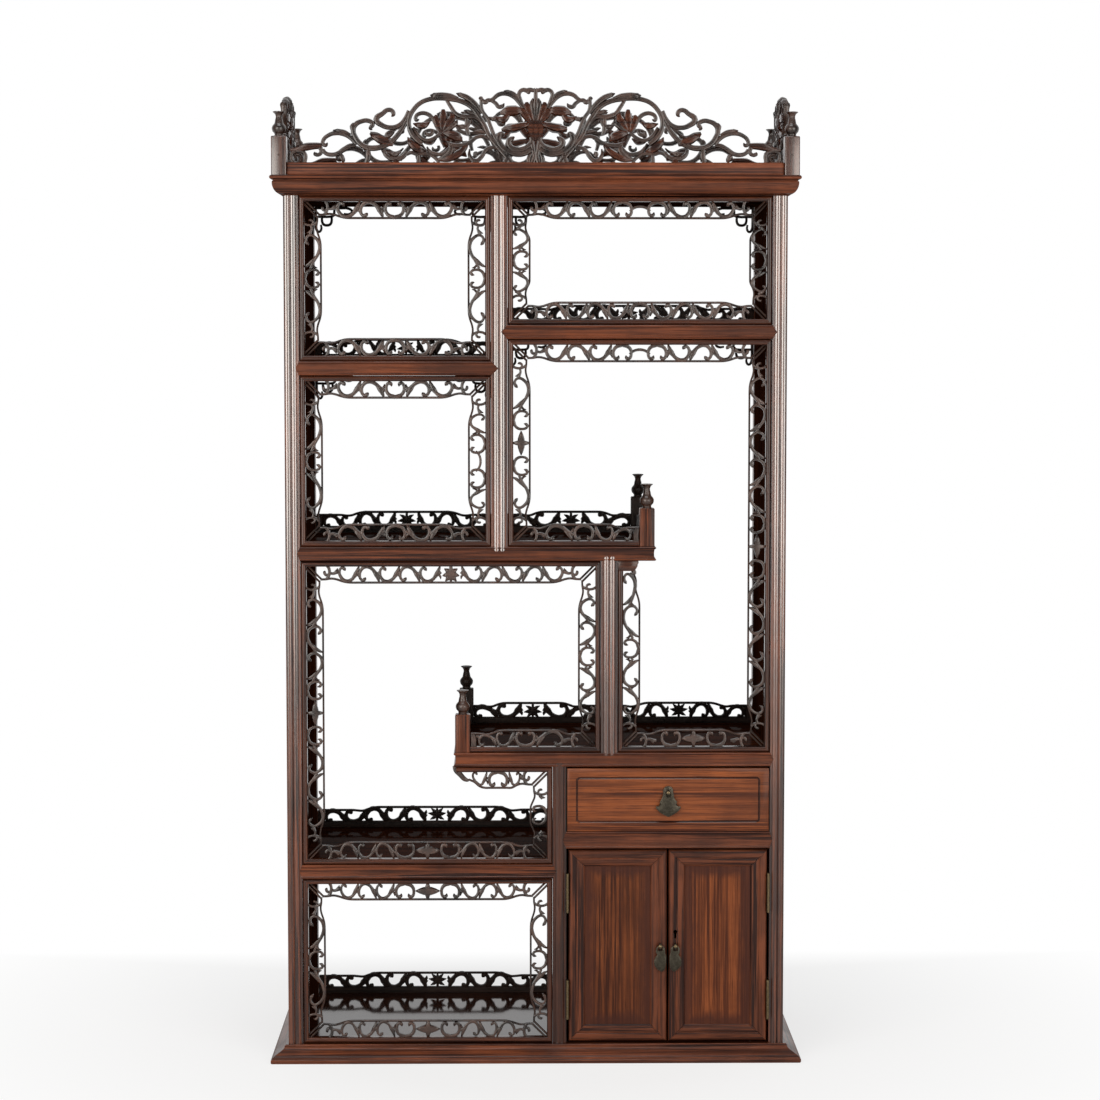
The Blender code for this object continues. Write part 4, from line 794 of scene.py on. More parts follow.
def frame_wood(along):
    """Dark reddish wood of the frame."""
    return wood("frame_wood", along, *frame_shades(1.0, 1.0), gloss=0.34, coat=0.12)


def rail_wood(along):
    """The frame's wood on the rails under the crests, left dull."""
    return wood("rail_wood", along, *frame_shades(1.3, 1.3), gloss=0.5, coat=0.04)


def fade_coat(material, low, high, at_low, at_high):
    """Let the coat of a finish change between two heights."""
    tree = material.node_tree
    coat = tree.nodes["Principled BSDF"].inputs["Coat Weight"]
    if coat.is_linked:
        return
    tree.links.new(ranged(tree, axes(tree)["Z"], low, high, at_low, at_high), coat)


def polished_wood():
    """The frame's wood on reeds and posts, rubbed to a high shine that wears off near the floor."""
    shades = frame_shades(1.0, 1.0)
    material = wood("polished_wood", "Z", *shades, gloss=0.30, coat=1.0, density=2.25, sheen=0.22)
    fade_coat(material, low=0.28, high=0.62, at_low=0.28, at_high=1.0)
    material.node_tree.nodes["Bump"].inputs["Strength"].default_value = 0.1
    return material


def board_wood():
    """The frame's wood on top of the shelves, its light streaks halved as painted shade, which mirrors what
    stands behind.
    """
    shades = frame_shades(1.0, 0.5)
    material = wood("board_wood", "X", *shades, gloss=0.32, coat=0.14, density=1.5, sheen=0.08)
    material.node_tree.nodes["Principled BSDF"].inputs["Specular IOR Level"].default_value = 0.0
    fade_coat(material, low=0.05, high=0.20, at_low=0.80, at_high=0.04)
    return material


def bead_wood(along):
    """The frame's wood on the beads round the cells, made darker as painted shade."""
    return wood("bead_wood", along, *frame_shades(0.7, 0.5), gloss=0.30, coat=0.5)


def crown_wood():
    """The frame's wood on the corner posts of the crown, dark under a bright wax."""
    shades = frame_shades(0.7, 0.5)
    return wood("crown_wood", "Z", *shades, gloss=0.30, coat=1.0, density=1.8, sheen=0.26)


def leaf_wood():
    """The frame's wood on the broad leaves of the crest."""
    return wood("leaf_wood", "X", *frame_shades(0.8, 0.48), gloss=0.30, coat=0.5)


def shaded_wood(along):
    """The frame's wood made dark and dull as painted shade, for the faces inside and under the cabinet."""
    return wood("shaded_wood", along, *frame_shades(0.4, 0.3), gloss=0.55, coat=0.0)


def panel_wood(along):
    """Warmer figured wood of the drawer front."""
    return wood("panel_wood", along, colours().panel_dark, colours().panel_light, gloss=0.38, coat=0.1)


def lining_wood(along):
    """Plain wood inside the drawer."""
    return wood("lining_wood", along, colours().lining_dark, colours().lining_light, gloss=0.62, coat=0.0)


def carved_wood():
    """Waxed carving: nearly black in the hollows, rubbed brown in patches."""
    key = "carved_wood"
    if key in bpy.data.materials:
        return bpy.data.materials[key]
    material, tree, shader = new_finish(key)
    patch = ranged(tree, streaks(tree, (48, 48, 48), 4.0, 0.6), 0.36, 0.66, 0.0, 1.0)
    grain = ranged(tree, streaks(tree, (190, 260, 620), 3.0, 0.6), 0.4, 0.7, 0.0, 1.0)
    tone = blended(tree, patch, colours().fret_dark, colours().fret_light)
    tone = blended(tree, ranged(tree, grain, 0.0, 1.0, 0.0, 0.55), tone, colours().fret_dark)
    tree.links.new(tone, shader.inputs["Base Color"])
    tree.links.new(ranged(tree, patch, 0.0, 1.0, 0.27, 0.42), shader.inputs["Roughness"])
    shader.inputs["Coat Weight"].default_value = 0.25
    shader.inputs["Coat Roughness"].default_value = 0.2
    add_bump(tree, shader, grain, 0.18, 0.0004)
    return material


def shaded_carving():
    """The carving at the back, made dark and dull as painted shade."""
    dark, light = tinted(colours().fret_dark, 0.5), tinted(colours().fret_light, 0.4)
    return wood("shaded_carving", "X", dark, light, gloss=0.5, coat=0.06)


def metal(name, tone, rubbed, gloss):
    """Aged metal with dull and rubbed patches."""
    if name in bpy.data.materials:
        return bpy.data.materials[name]
    material, tree, shader = new_finish(name)
    patch = ranged(tree, streaks(tree, (420, 420, 420), 5.0, 0.65), 0.38, 0.68, 0.0, 1.0)
    tree.links.new(blended(tree, patch, tone, rubbed), shader.inputs["Base Color"])
    tree.links.new(ranged(tree, patch, 0.0, 1.0, gloss + 0.16, gloss), shader.inputs["Roughness"])
    shader.inputs["Metallic"].default_value = 1.0
    add_bump(tree, shader, patch, 0.2, 0.0003)
    return material


def bronze():
    """Toned metal of the pulls."""
    return metal("toned_bronze", colours().bronze, tinted(colours().bronze, 2.0), gloss=0.32)


def brass():
    """Yellow metal of pins and hinges."""
    return metal("rubbed_brass", tinted(colours().brass, 0.55), colours().brass, gloss=0.26)


# Shapes


def only(items, kind):
    """The items of one bmesh type."""
    return [item for item in items if isinstance(item, kind)]


def turn_to(shape, matrix):
    """Stand a flat drawing up in the world."""
    bmesh.ops.transform(shape, matrix=matrix, verts=shape.verts)


def round_edges(shape, edges, width, segments=2):
    """Round some edges of a shape."""
    bmesh.ops.bevel(
        shape,
        geom=edges,
        offset=width,
        offset_type="OFFSET",
        affect="EDGES",
        segments=segments,
        profile=0.5,
        material=-1,
        clamp_overlap=True,
    )


def add_shape(target, source):
    """Join a source to a target shape, and let the source go."""
    mesh = bpy.data.meshes.new("joined")
    source.to_mesh(mesh)
    source.free()
    target.from_mesh(mesh)
    bpy.data.meshes.remove(mesh)


def paint(shape, index):
    """Give all faces of a shape one of its piece's finishes."""
    for face in shape.faces:
        face.material_index = index


def dress_levels(shape):
    """Give faces that look down a piece's second finish, the painted shade under it, and those that look up
    its third, the top darkened as painted shade.
    """
    for face in shape.faces:
        if face.normal.z < -ALONG:
            face.material_index = 1
        if face.normal.z > LEVEL:
            face.material_index = 2


def block(low, high, edge):
    """A box with softened edges."""
    shape = bmesh.new()
    low = Vector(low)
    size = Vector(high) - low
    place = Matrix.Translation(low + size / 2) @ Matrix.Diagonal((*size, 1))
    bmesh.ops.create_cube(shape, size=1, matrix=place)
    if edge:
        round_edges(shape, shape.edges[:], edge)
    return shape


def drawn(start, moves):
    """A closed flat outline of lines and arcs, filled."""
    shape = bmesh.new()
    first = shape.verts.new((*start, 0))
    last = first
    for kind, point, *swing in moves:
        if kind == "line":
            last = bmesh.ops.extrude_vert_indiv(shape, verts=[last])["verts"][0]
            last.co = (*point, 0)
        else:
            degrees, steps = swing
            turned = bmesh.ops.spin(
                shape, geom=[last], cent=(*point, 0), axis=(0, 0, 1), angle=math.radians(degrees), steps=steps
            )
            last = only(turned["geom_last"], bmesh.types.BMVert)[0]
    shape.edges.new((last, first))
    bmesh.ops.contextual_create(shape, geom=shape.edges[:])
    return shape


def outline(points):
    """A closed flat outline through points."""
    return drawn(points[0], [("line", point) for point in points[1:]])


def stretch(shape, near, far):
    """Draw a flat outline out along its own z; gives the moved corners."""
    bmesh.ops.translate(shape, verts=shape.verts, vec=(0, 0, near))
    grown = bmesh.ops.extrude_face_region(shape, geom=shape.faces[:])
    moved = only(grown["geom"], bmesh.types.BMVert)
    bmesh.ops.translate(shape, verts=moved, vec=(0, 0, far - near))
    bmesh.ops.recalc_face_normals(shape, faces=shape.faces)
    return moved


def cut_away(shape, cutter):
    """One shape less another; both are let go."""
    holders = []
    for part in (shape, cutter):
        mesh = bpy.data.meshes.new("part")
        part.to_mesh(mesh)
        part.free()
        holder = bpy.data.objects.new("part", mesh)
        bpy.context.scene.collection.objects.link(holder)
        holders.append(holder)
    cut = holders[0].modifiers.new("cut", "BOOLEAN")
    cut.object = holders[1]
    cut.solver = "EXACT"
    evaluated = holders[0].evaluated_get(bpy.context.evaluated_depsgraph_get())
    remainder = bmesh.new()
    remainder.from_mesh(evaluated.to_mesh())
    for holder in holders:
        bpy.data.objects.remove(holder)
    return remainder


def settle(name, shape, looks, body="cabinet", nodes=(), crease=38):
    """Make a shape a piece that rides on a body and stands for CAD nodes."""
    mesh = bpy.data.meshes.new(name)
    shape.to_mesh(mesh)
    shape.free()
    for look in looks:
        mesh.materials.append(look)
    mesh.shade_smooth()
    mesh.set_sharp_from_angle(angle=math.radians(crease))
    piece = bpy.data.objects.new(name, mesh)
    bpy.context.scene.collection.objects.link(piece)
    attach(piece, body)
    if nodes:
        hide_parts(*nodes)
    return piece


def coat_node(name, look):
    """Give a CAD node that stays its finish."""
    materials = frame["nodes"][name].data.materials
    materials.clear()
    materials.append(look)


def strand_mesh(strokes, sides, smoothness):
    """Round strands through points with half widths; a point may also have a height."""
    guide = bpy.data.curves.new("strands", "CURVE")
    guide.dimensions = "3D"
    guide.fill_mode = "FULL"
    guide.twist_mode = "Z_UP"
    guide.bevel_depth = MM
    guide.bevel_resolution = sides
    guide.resolution_u = smoothness
    guide.use_fill_caps = True
    for stroke in strokes:
        spline = guide.splines.new("BEZIER")
        spline.bezier_points.add(len(stroke) - 1)
        for point, (x, y, half_width, *height) in zip(spline.bezier_points, stroke):
            point.co = (x, y, height[0] if height else 0)
            point.radius = half_width / MM
            point.handle_left_type = "AUTO"
            point.handle_right_type = "AUTO"
    holder = bpy.data.objects.new("strands", guide)
    bpy.context.scene.collection.objects.link(holder)
    evaluated = holder.evaluated_get(bpy.context.evaluated_depsgraph_get())
    mesh = bpy.data.meshes.new_from_object(evaluated)
    bpy.data.objects.remove(holder)
    strands = bmesh.new()
    strands.from_mesh(mesh)
    bpy.data.meshes.remove(mesh)
    bmesh.ops.remove_doubles(strands, verts=strands.verts, dist=MERGED)
    bmesh.ops.recalc_face_normals(strands, faces=strands.faces)
    return strands


def carve(shape, strokes, matrix, relief, softness, smoothness=3):
    """Add flattened strands to a shape: each stroke is points with half widths, in a flat drawing."""
    strands = strand_mesh(strokes, sizes().strand_sides, smoothness)
    for corner in strands.verts:
        corner.co.z = relief * math.tanh(corner.co.z / softness)
    bmesh.ops.recalc_face_normals(strands, faces=strands.faces)
    turn_to(strands, matrix)
    add_shape(shape, strands)


def add_ridges(shape, strokes, matrix, relief, softness):
    """Add a thin rib along the middle of each broad stroke, on both faces."""
    ribs = []
    for stroke in strokes:
        if max(point[2] for point in stroke) < RIBBED_WIDTH:
            continue
        for face in (-1, 1):
            rib = []
            for x, y, half_width in stroke:
                height = face * relief * math.tanh(half_width / softness)
                rib.append((x, y, min(RIB_SHARE * half_width, RIB_WIDTH), height))
            ribs.append(rib)
    strands = strand_mesh(ribs, sides=1, smoothness=3)
    turn_to(strands, matrix)
    add_shape(shape, strands)


# Base and cornice


def grown(levels, spot):
    """A solid that grows through levels: spot gives a level's corner, left or right, front or rear."""
    shape = bmesh.new()
    bmesh.ops.create_grid(shape, x_segments=1, y_segments=1, size=0.5)
    top = shape.faces[:][0]
    for index, level in enumerate(levels):
        if index:
            risen = bmesh.ops.extrude_face_region(shape, geom=[top])
            if index > 1:
                bmesh.ops.delete(shape, geom=[top], context="FACES_ONLY")
            top = only(risen["geom"], bmesh.types.BMFace)[0]
        centre = top.calc_center_median()
        for corner in top.verts:
            corner.co = spot(level, corner.co.x > centre.x, corner.co.y > centre.y)
    bmesh.ops.recalc_face_normals(shape, faces=shape.faces)
    dress_levels(shape)
    return shape


def moulding(name, bottom, levels, nodes):
    """A board whose front and ends follow a profile of heights and projections."""
    low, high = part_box("left_front_stile")[0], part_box("right_front_stile")[1]

    def spot(level, on_right, rear):
        height, projection = level
        x = high.x + projection if on_right else low.x - projection
        return x, BACK if rear else low.y - projection, bottom + height

    shape = grown(levels, spot)
    for face in shape.faces:
        if abs(face.normal.x) > max(abs(face.normal.y), 0.02):
            face.material_index = 3
    # Undersides take painted shade, and tops take the board wood darkened as painted shade
    looks = [frame_wood("X"), shaded_wood("X"), board_wood(), frame_wood("Y")]
    settle(name, shape, looks, nodes=nodes, crease=28)


def sweep(start, end, first, last, steps, ogee):
    """Levels of an ogee or a swell between two heights and projections."""
    levels = []
    for step in range(steps + 1):
        share = step / steps
        turn = (1 - math.cos(math.pi * share)) / 2 if ogee else math.sin(math.pi * share / 2)
        levels.append((start + (end - start) * share, first + (last - first) * turn))
    return levels


class CABINET_OT_base_and_cornice(bpy.types.Operator):
    """Model the flared base and the cornice"""

    bl_idname = "cabinet.base_and_cornice"
    bl_label = "Base and cornice"

    def execute(self, context):
        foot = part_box("base_plinth")
        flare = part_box("left_front_stile")[0].x - foot[0].x
        height = foot[1].z
        levels = [(rise * MM, flare - setback * MM) for rise, setback in BASE_FOOT]
        start, setback = BASE_OGEE_START
        end, last = BASE_OGEE_END
        first = flare - setback * MM
        levels += sweep(start * MM, height + end * MM, first, last * MM, steps=10, ogee=True)
        (start, first), (end, last) = BASE_SWELL
        levels += sweep(height + start * MM, height + end * MM, first * MM, last * MM, steps=4, ogee=False)
        moulding("flared_base", 0, levels, ["base_plinth"])
        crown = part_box("cornice")
        reach = crown[1].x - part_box("right_front_stile")[1].x
        top = crown[1].z - crown[0].z
        levels = [(rise * MM, projection * MM) for rise, projection in CORNICE_UNDERSIDE]
        start, radius, inner, setback = (value * MM for value in CORNICE_ROUND)
        first, last, steps = CORNICE_ROUND_TURNS
        for step in range(steps + 1):
            turn = math.radians(first + (last - first) * step / steps)
            rise = start + radius * (1 - math.cos(turn))
            levels.append((rise, inner + (reach - setback) * math.sin(turn)))
        levels += [(top - drop * MM, reach - setback * MM) for drop, setback in CORNICE_TOP]
        moulding("cornice_moulding", crown[0].z, levels, ["cornice"])
        return {"FINISHED"}


# Uprights


def arc_of(half, sagitta):
    """Radius and half angle in degrees of an arc over a chord."""
    radius = (half * half + sagitta * sagitta) / (2 * sagitta)
    return radius, math.degrees(math.asin(half / radius))


def reeded(left, right, reeds, fillets):
    """Moves along the front of an upright in plan, from left to right, its reeds' middles and half width."""
    moves = []
    middles = []
    x = left
    setback = FRONT + FILLET_SETBACK
    if fillets[0]:
        x = left + FILLET
        moves += [("line", (left, setback)), ("line", (x, setback))]
    end = right - (FILLET if fillets[1] else 0)
    half = (end - x) / reeds / 2
    radius, angle = arc_of(half, REED)
    moves.append(("line", (x, FRONT + REED)))
    for reed in range(reeds):
        middle = x + half * (2 * reed + 1)
        middles.append(middle)
        moves.append(("arc", (middle, FRONT + radius), 2 * angle, REED_STEPS))
    if fillets[1]:
        moves += [("line", (end, setback)), ("line", (right, setback))]
    return moves, middles, half


def housings(node):
    """The pointed housings for rail ends in the front of an upright, as flat outlines."""
    low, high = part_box(node)
    points = []
    for rail, left, left_reach, right, right_reach in (row[1:] for row in RAILS):
        for upright, edge, side, reach in ((left, high.x, 1, left_reach), (right, low.x, -1, right_reach)):
            if upright != node:
                continue
            bottom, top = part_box(rail)[0].z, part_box(rail)[1].z
            middle = (top + bottom) / 2
            spread = (top - bottom) / 2 * (1 + CUT_RUN / (reach * MM))
            base = edge + side * CUT_RUN
            tip = (edge - side * reach * MM, middle)
            points.append([(base, middle - spread), (base, middle + spread), tip])
    return points


def add_upright(name, node, reeds, fillets, partition=None, tips=(0, 0), look=None):
    """A reeded stile, or a post with the partition behind it; reeds may run out in tips over the rails."""
    low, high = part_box(node)
    moves, middles, half = reeded(low.x, high.x, reeds, fillets)
    back = [("line", (high.x, POST_BACK))]
    if partition:
        if partition[1] < high.x:
            back.append(("line", (partition[1], POST_BACK)))
        back += [("line", (partition[1], BACK)), ("line", (partition[0], BACK))]
        back.append(("line", (partition[0], POST_BACK)))
    shape = drawn((low.x, POST_BACK), moves + back)
    stretch(shape, low.z - GAP, high.z + GAP)
    caps = [face for face in shape.faces if abs(face.normal.z) > ALONG]
    bmesh.ops.triangulate(shape, faces=caps)
    middle_z = (low.z + high.z) / 2
    for corner in shape.verts:
        if corner.co.y > FRONT + REED - MERGED:
            continue
        for middle in middles:
            share = abs(corner.co.x - middle) / half
            if share < 1:
                reach = math.sqrt(1 - share * share)
                corner.co.z += reach * tips[1] if corner.co.z > middle_z else -reach * tips[0]
    # Faces on the partition behind the post's front take painted shade
    for face in shape.faces:
        if face.calc_center_median().y > POST_BACK + MM and abs(face.normal.z) < 0.5:
            face.material_index = 1
    for points in housings(node):
        housing = outline(points)
        stretch(housing, -FRONT - HOUSING, -FRONT + HOUSING)
        turn_to(housing, FACING_FRONT)
        shape = cut_away(shape, housing)
    looks = [look or polished_wood(), shaded_wood("Z")]
    settle(name, shape, looks, nodes=[node], crease=32)


class CABINET_OT_uprights(bpy.types.Operator):
    """Model the reeded stiles and posts, and finish the side panels"""

    bl_idname = "cabinet.uprights"
    bl_label = "Uprights"

    def execute(self, context):
        add_upright("left_reeded_stile", "left_front_stile", 2, (False, True))
        add_upright("right_reeded_stile", "right_front_stile", 2, (True, False))
        for name, node, tips in POSTS:
            low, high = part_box(node)
            middle = (low.x + high.x) / 2
            partition = (middle - PARTITION / 2, middle + PARTITION / 2)
            add_upright(name, node, 2, (True, True), partition, tips)
        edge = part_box("lower_divider")[1].x
        partition = (edge - PARTITION, edge)
        # The lower post takes the frame's wood darkened as painted shade
        look = bead_wood("Z")
        add_upright("lower_post", "lower_divider", 1, (True, True), partition, LOWER_POST_TIPS, look)
        for side in ("left", "right"):
            low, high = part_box(side + "_side_panel")
            shape = block(low, high, 0)
            # The inner face of a side board takes painted shade
            for face in shape.faces:
                if abs(face.normal.x) > ALONG and (face.normal.x > 0) == (side == "left"):
                    face.material_index = 1
            looks = [frame_wood("Z"), shaded_wood("Z")]
            settle(side + "_side_board", shape, looks, nodes=[side + "_side_panel"])
            low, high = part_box(side + "_back_stile")
            shape = block((low.x, low.y, low.z - GAP), (high.x, high.y, high.z + GAP), sizes().edge)
            settle(side + "_rear_stile", shape, [frame_wood("Z")], nodes=[side + "_back_stile"])
        # The cupboard's back is darkened as painted shade
        coat_node("cupboard_back", shaded_wood("Z"))
        return {"FINISHED"}


# Shelves and rails


def board_levels(thickness):
    """Heights and set-backs of a shelf's edge: a bead, a hollow and a bead."""
    bead = [(height * MM, setback * MM) for height, setback in BOARD_BEAD]
    start = bead[-1][0]
    hollow = []
    for step in range(1, HOLLOW_STEPS):
        share = step / HOLLOW_STEPS
        height = start + (thickness - 2 * start) * share
        hollow.append((height, HOLLOW_SETBACK + HOLLOW_DEPTH * math.sin(math.pi * share)))
    return bead + hollow + [(thickness - height, setback) for height, setback in reversed(bead)]


def add_board(name, node, left, left_reach, right, right_reach):
    """A shelf with a moulded edge, which runs out in points over the uprights and goes round a free end."""
    low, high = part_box(node)
    left_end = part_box(left)[1].x if left else low.x
    right_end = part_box(right)[0].x if right else high.x
    half = (high.z - low.z) / 2

    def spot(level, on_right, rear):
        height, setback = level
        upright, reach = (right, right_reach) if on_right else (left, left_reach)
        out = (1 - abs(height - half) / half) * reach * MM if upright else -setback
        if rear and upright:
            x = high.x if on_right else low.x
        else:
            x = right_end + out if on_right else left_end - out
        return x, high.y if rear else FRONT + setback, low.z + height

    shape = grown(board_levels(2 * half), spot)
    # The underside takes painted shade, and the top the board wood darkened as painted shade
    looks = [frame_wood("X"), shaded_wood("X"), board_wood()]
    settle(name, shape, looks, nodes=[node], crease=26)


class CABINET_OT_boards(bpy.types.Operator):
    """Model the shelves and the drawer rail"""

    bl_idname = "cabinet.boards"
    bl_label = "Boards"

    def execute(self, context):
        for rail in RAILS:
            add_board(*rail)
        return {"FINISHED"}


# Frets and galleries


class Band:
    """One straight side of a fret: places along it, depths from its member."""

    def __init__(self, start, end, from_corner, to_corner, hang=(None, None)):
        self.start = Vector(start)
        run = Vector(end) - self.start
        self.length = run.length
        self.along = run.normalized()
        self.inward = Vector((-self.along.y, self.along.x))
        self.from_corner = from_corner
        self.to_corner = to_corner
        self.upright = abs(self.along.y) > 0.5
        self.weight = sizes().strand_weight * (UPRIGHT_WEIGHT if self.upright else 1)
        self.bead = sizes().inner_bead * (UPRIGHT_BEAD if self.upright else 1)
        self.hang = hang
        self.step = PLAIN_STEP
        self.ornament_scale = 1.0
        self.ornament_weight = 1.0
        self.lead_in = self.lead(from_corner, hang[0])
        self.lead_out = self.lead(to_corner, hang[1])

    def lead(self, corner, hang):
        """Length at one end that the vine leaves to a corner, a hanging tip or a post."""
        if corner:
            return CORNER_LEAD
        return POST_LEAD if hang is None else hang + TIP_LEAD

    def depth(self, place):
        """Depth of the inner edge: a slight dip beside the corner, then a smooth swell."""
        size = sizes()
        step_in = CORNER_STEP if self.from_corner else self.step
        step_out = CORNER_STEP if self.to_corner else self.step
        run = self.length - step_in - step_out
        hanging = self.hung(place, self.hang[0]) * self.hung(self.length - place, self.hang[1])
        if run < SHORTEST_RUN:
            return size.fret_depth * hanging
        shoulder = min(SHOULDER_SHARE * run, SHOULDER[1])
        reach = min(place - step_in, self.length - step_out - place)
        rise = (reach - shoulder * SHOULDER_MIDDLE) / max(shoulder, SHOULDER[0])
        share = min(max(rise + 0.5, 0), 1)
        swell = size.fret_swell * (1 - math.cos(math.pi * share)) / 2
        dip = DIP_DEPTH * math.exp(-(((reach + DIP_PLACE) / DIP_LENGTH) ** 2))
        return (size.fret_depth + swell - dip) * hanging

    def hung(self, reach, tip):
        """Share of the full depth at a distance from an end that may hang free from a tip on."""
        if tip is None:
            return 1
        share = min(max((reach - tip) / TIP_GROWTH, 0), 1)
        return TIP_SHARE + (1 - TIP_SHARE) * math.sin(math.pi * share / 2)

    def at(self, place, depth):
        """A point of the drawing."""
        return self.start + self.along * place + self.inward * depth

    def within(self, place, share):
        """A point by its share of the open depth between the two beads."""
        size = sizes()
        edge = size.bead_width - BEAD_COVER
        room = self.depth(place) - self.bead - edge
        return self.at(place, edge + room * share)

    def stroke(self, points):
        """A stroke from places in metres, shares of the depth and half widths in mm."""
        drawn_points = []
        for place, share, half_width in points:
            x, y = self.within(place, share)
            drawn_points.append((x, y, half_width * self.weight * MM))
        return drawn_points


def inner_edge(band):
    """The thin inner bead along a band."""
    size = sizes()
    first = size.fret_depth if band.from_corner else band.hang[0] or EDGE_PLAY
    last = band.length - (size.fret_depth if band.to_corner else band.hang[1] or EDGE_PLAY)
    steps = max(int((last - first) / EDGE_STEP), 4)
    points = []
    for step in range(steps + 1):
        place = first + (last - first) * step / steps
        x, y = band.at(place, band.depth(place) - band.bead)
        points.append((x, y, band.bead))
    return points


def corner_bars(corner, back, onward):
    """The pair of bars on the diagonal of a corner."""
    size = sizes()
    near = size.bead_width - BAR_WEIGHT
    far = size.fret_depth - BAR_PLAY
    strokes = []
    for shift in (-BAR_SPREAD, BAR_SPREAD):
        bar = []
        for reach in (near, (near + far) / 2, far):
            point = corner + back * (reach + shift) + onward * (reach - shift)
            bar.append((point.x, point.y, BAR_WEIGHT))
        strokes.append(bar)
    return strokes


def laid(band, parts, begin, run):
    """Drawn parts laid on a band: their places are scaled by a run and counted from a beginning."""
    return [band.stroke([(begin + run * x, share, w) for x, share, w in part]) for part in parts]


def vine(band, begin, end, flip_first):
    """Curls that run from a corner to the middle of a band, alternately turned over."""
    run = end - begin
    pitch = sizes().curl_pitch * (UPRIGHT_PITCH if band.upright else 1)
    count = max(int(round(abs(run) / pitch)), 1)
    cell = run / count
    scale = min(max(abs(cell) / DRAWN_PITCH, CURL_SCALE[0]), CURL_SCALE[1])
    strokes = []
    for index in range(count):
        start = begin + cell * index
        turned = (index % 2 == 0) == flip_first
        for part in (CURL, CURL_LEAF, CURL_SPUR):
            points = []
            for share, depth, half_width in part:
                depth = 1 - depth if turned else depth
                points.append((start + cell * share, depth, half_width * scale))
            strokes.append(band.stroke(points))
    return strokes, count


def middle_ornament(band, place, ornament, turned):
    """The leaf, the star or the omegas in the middle of a band."""
    strokes = []
    reach = ORNAMENT_REACH[ornament] * band.ornament_scale
    for part in ORNAMENTS[ornament]:
        for side in (-1, 1):
            points = []
            for share, depth, half_width in part:
                depth = 1 - depth if turned else depth
                points.append((place + side * share * reach, depth, half_width * band.ornament_weight))
            strokes.append(band.stroke(points))
    return strokes


def band_strokes(band, ornament):
    """All strands of one side."""
    strokes = [inner_edge(band)]
    run = band.length - band.lead_in - band.lead_out
    middle = band.lead_in + run / 2
    if run < SHORTEST_RUN:
        return strokes + vine(band, band.length - band.lead_out * SHORT_VINE_LEAD, SHORT_VINE_END, False)[0]
    half_room = ORNAMENT_ROOM[ornament] * band.ornament_scale
    stem_run = LONG_STEM if run > LONG_RUN else SHORT_STEM
    for begin, turn, corner in (
        (band.lead_in, 1, band.from_corner),
        (band.length - band.lead_out, -1, band.to_corner),
    ):
        start = begin
        if corner:
            strokes += laid(band, BRACKET, begin - turn * BRACKET_BACK, turn)
            start = begin + turn * stem_run
            foot = begin - turn * STEM_BACK
            strokes += laid(band, STEM, foot, start - foot)
        elif band.hang[0 if turn > 0 else 1] is None:
            strokes += laid(band, EAR, 0 if turn > 0 else band.length, turn)
        end = middle - turn * half_room
        count = 1
        if abs(end - start) > SHORTEST_VINE:
            curls, count = vine(band, start, end, True)
            strokes += curls
    turned = count % 2 == 0 and ornament in ("leaf", "hooks")
    return strokes + middle_ornament(band, middle, ornament, turned)


def bead_run(shape, path, closed, width, front, back):
    """Mitred rounded beads along a path, each side a length of its own."""
    count = len(path) if closed else len(path) - 1
    sides = []
    for index in range(count):
        start, end = Vector(path[index]), Vector(path[(index + 1) % len(path)])
        along = (end - start).normalized()
        sides.append((start, end, along, Vector((-along.y, along.x))))
    for index, (start, end, along, inward) in enumerate(sides):
        corners = [start, end]
        inner = []
        for which, neighbour in ((0, index - 1), (1, index + 1)):
            point = corners[which] + inward * width
            if closed or 0 <= neighbour < count:
                point += sides[neighbour % count][3] * width
            inner.append(point)
        length = outline([start, end, inner[1], inner[0]])
        stretch(length, -back, -front)
        crests = []
        for edge in length.edges:
            way = (edge.verts[1].co - edge.verts[0].co).normalized()
            at_front = all(corner.co.z > -front - 0.00001 for corner in edge.verts)
            if at_front and abs(way.xy.dot(along)) > 0.99:
                crests.append(edge)
        round_edges(length, crests, width * BEAD_ROUNDING, segments=4)
        paint(length, 1 if abs(along.x) > 0.5 else 2)
        turn_to(length, FACING_FRONT)
        add_shape(shape, length)


def fret_path(node):
    """The outer corners of a fret, with its cell on the left of the path, and whether it closes."""
    low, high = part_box(node)
    if node == "tall_right_fret":
        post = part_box("middle_divider")[1].x + GAP
        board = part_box("middle_shelf")
        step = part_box("middle_step_post")[0].x - GAP
        path = [(post, board[0].z - CORBEL_DROP), (post, low.z), (high.x, low.z)]
        path += [(high.x, high.z), (low.x, high.z), (low.x, board[1].z + GAP), (step, board[1].z + GAP)]
        return path, False
    if node == "wide_left_fret":
        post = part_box("middle_divider")[0].x - GAP
        lower_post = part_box("lower_divider")[0].x - GAP
        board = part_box("stepped_shelf")
        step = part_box("stepped_step_post")
        path = [(step[1].x + GAP, board[1].z + GAP), (post, board[1].z + GAP), (post, high.z)]
        path += [(low.x, high.z), (low.x, low.z), (lower_post, low.z), (lower_post, board[0].z - GAP)]
        path.append((board[0].x + HORN_START, board[0].z - GAP))
        return path, False
    return [(low.x, low.z), (high.x, low.z), (high.x, high.z), (low.x, high.z)], True


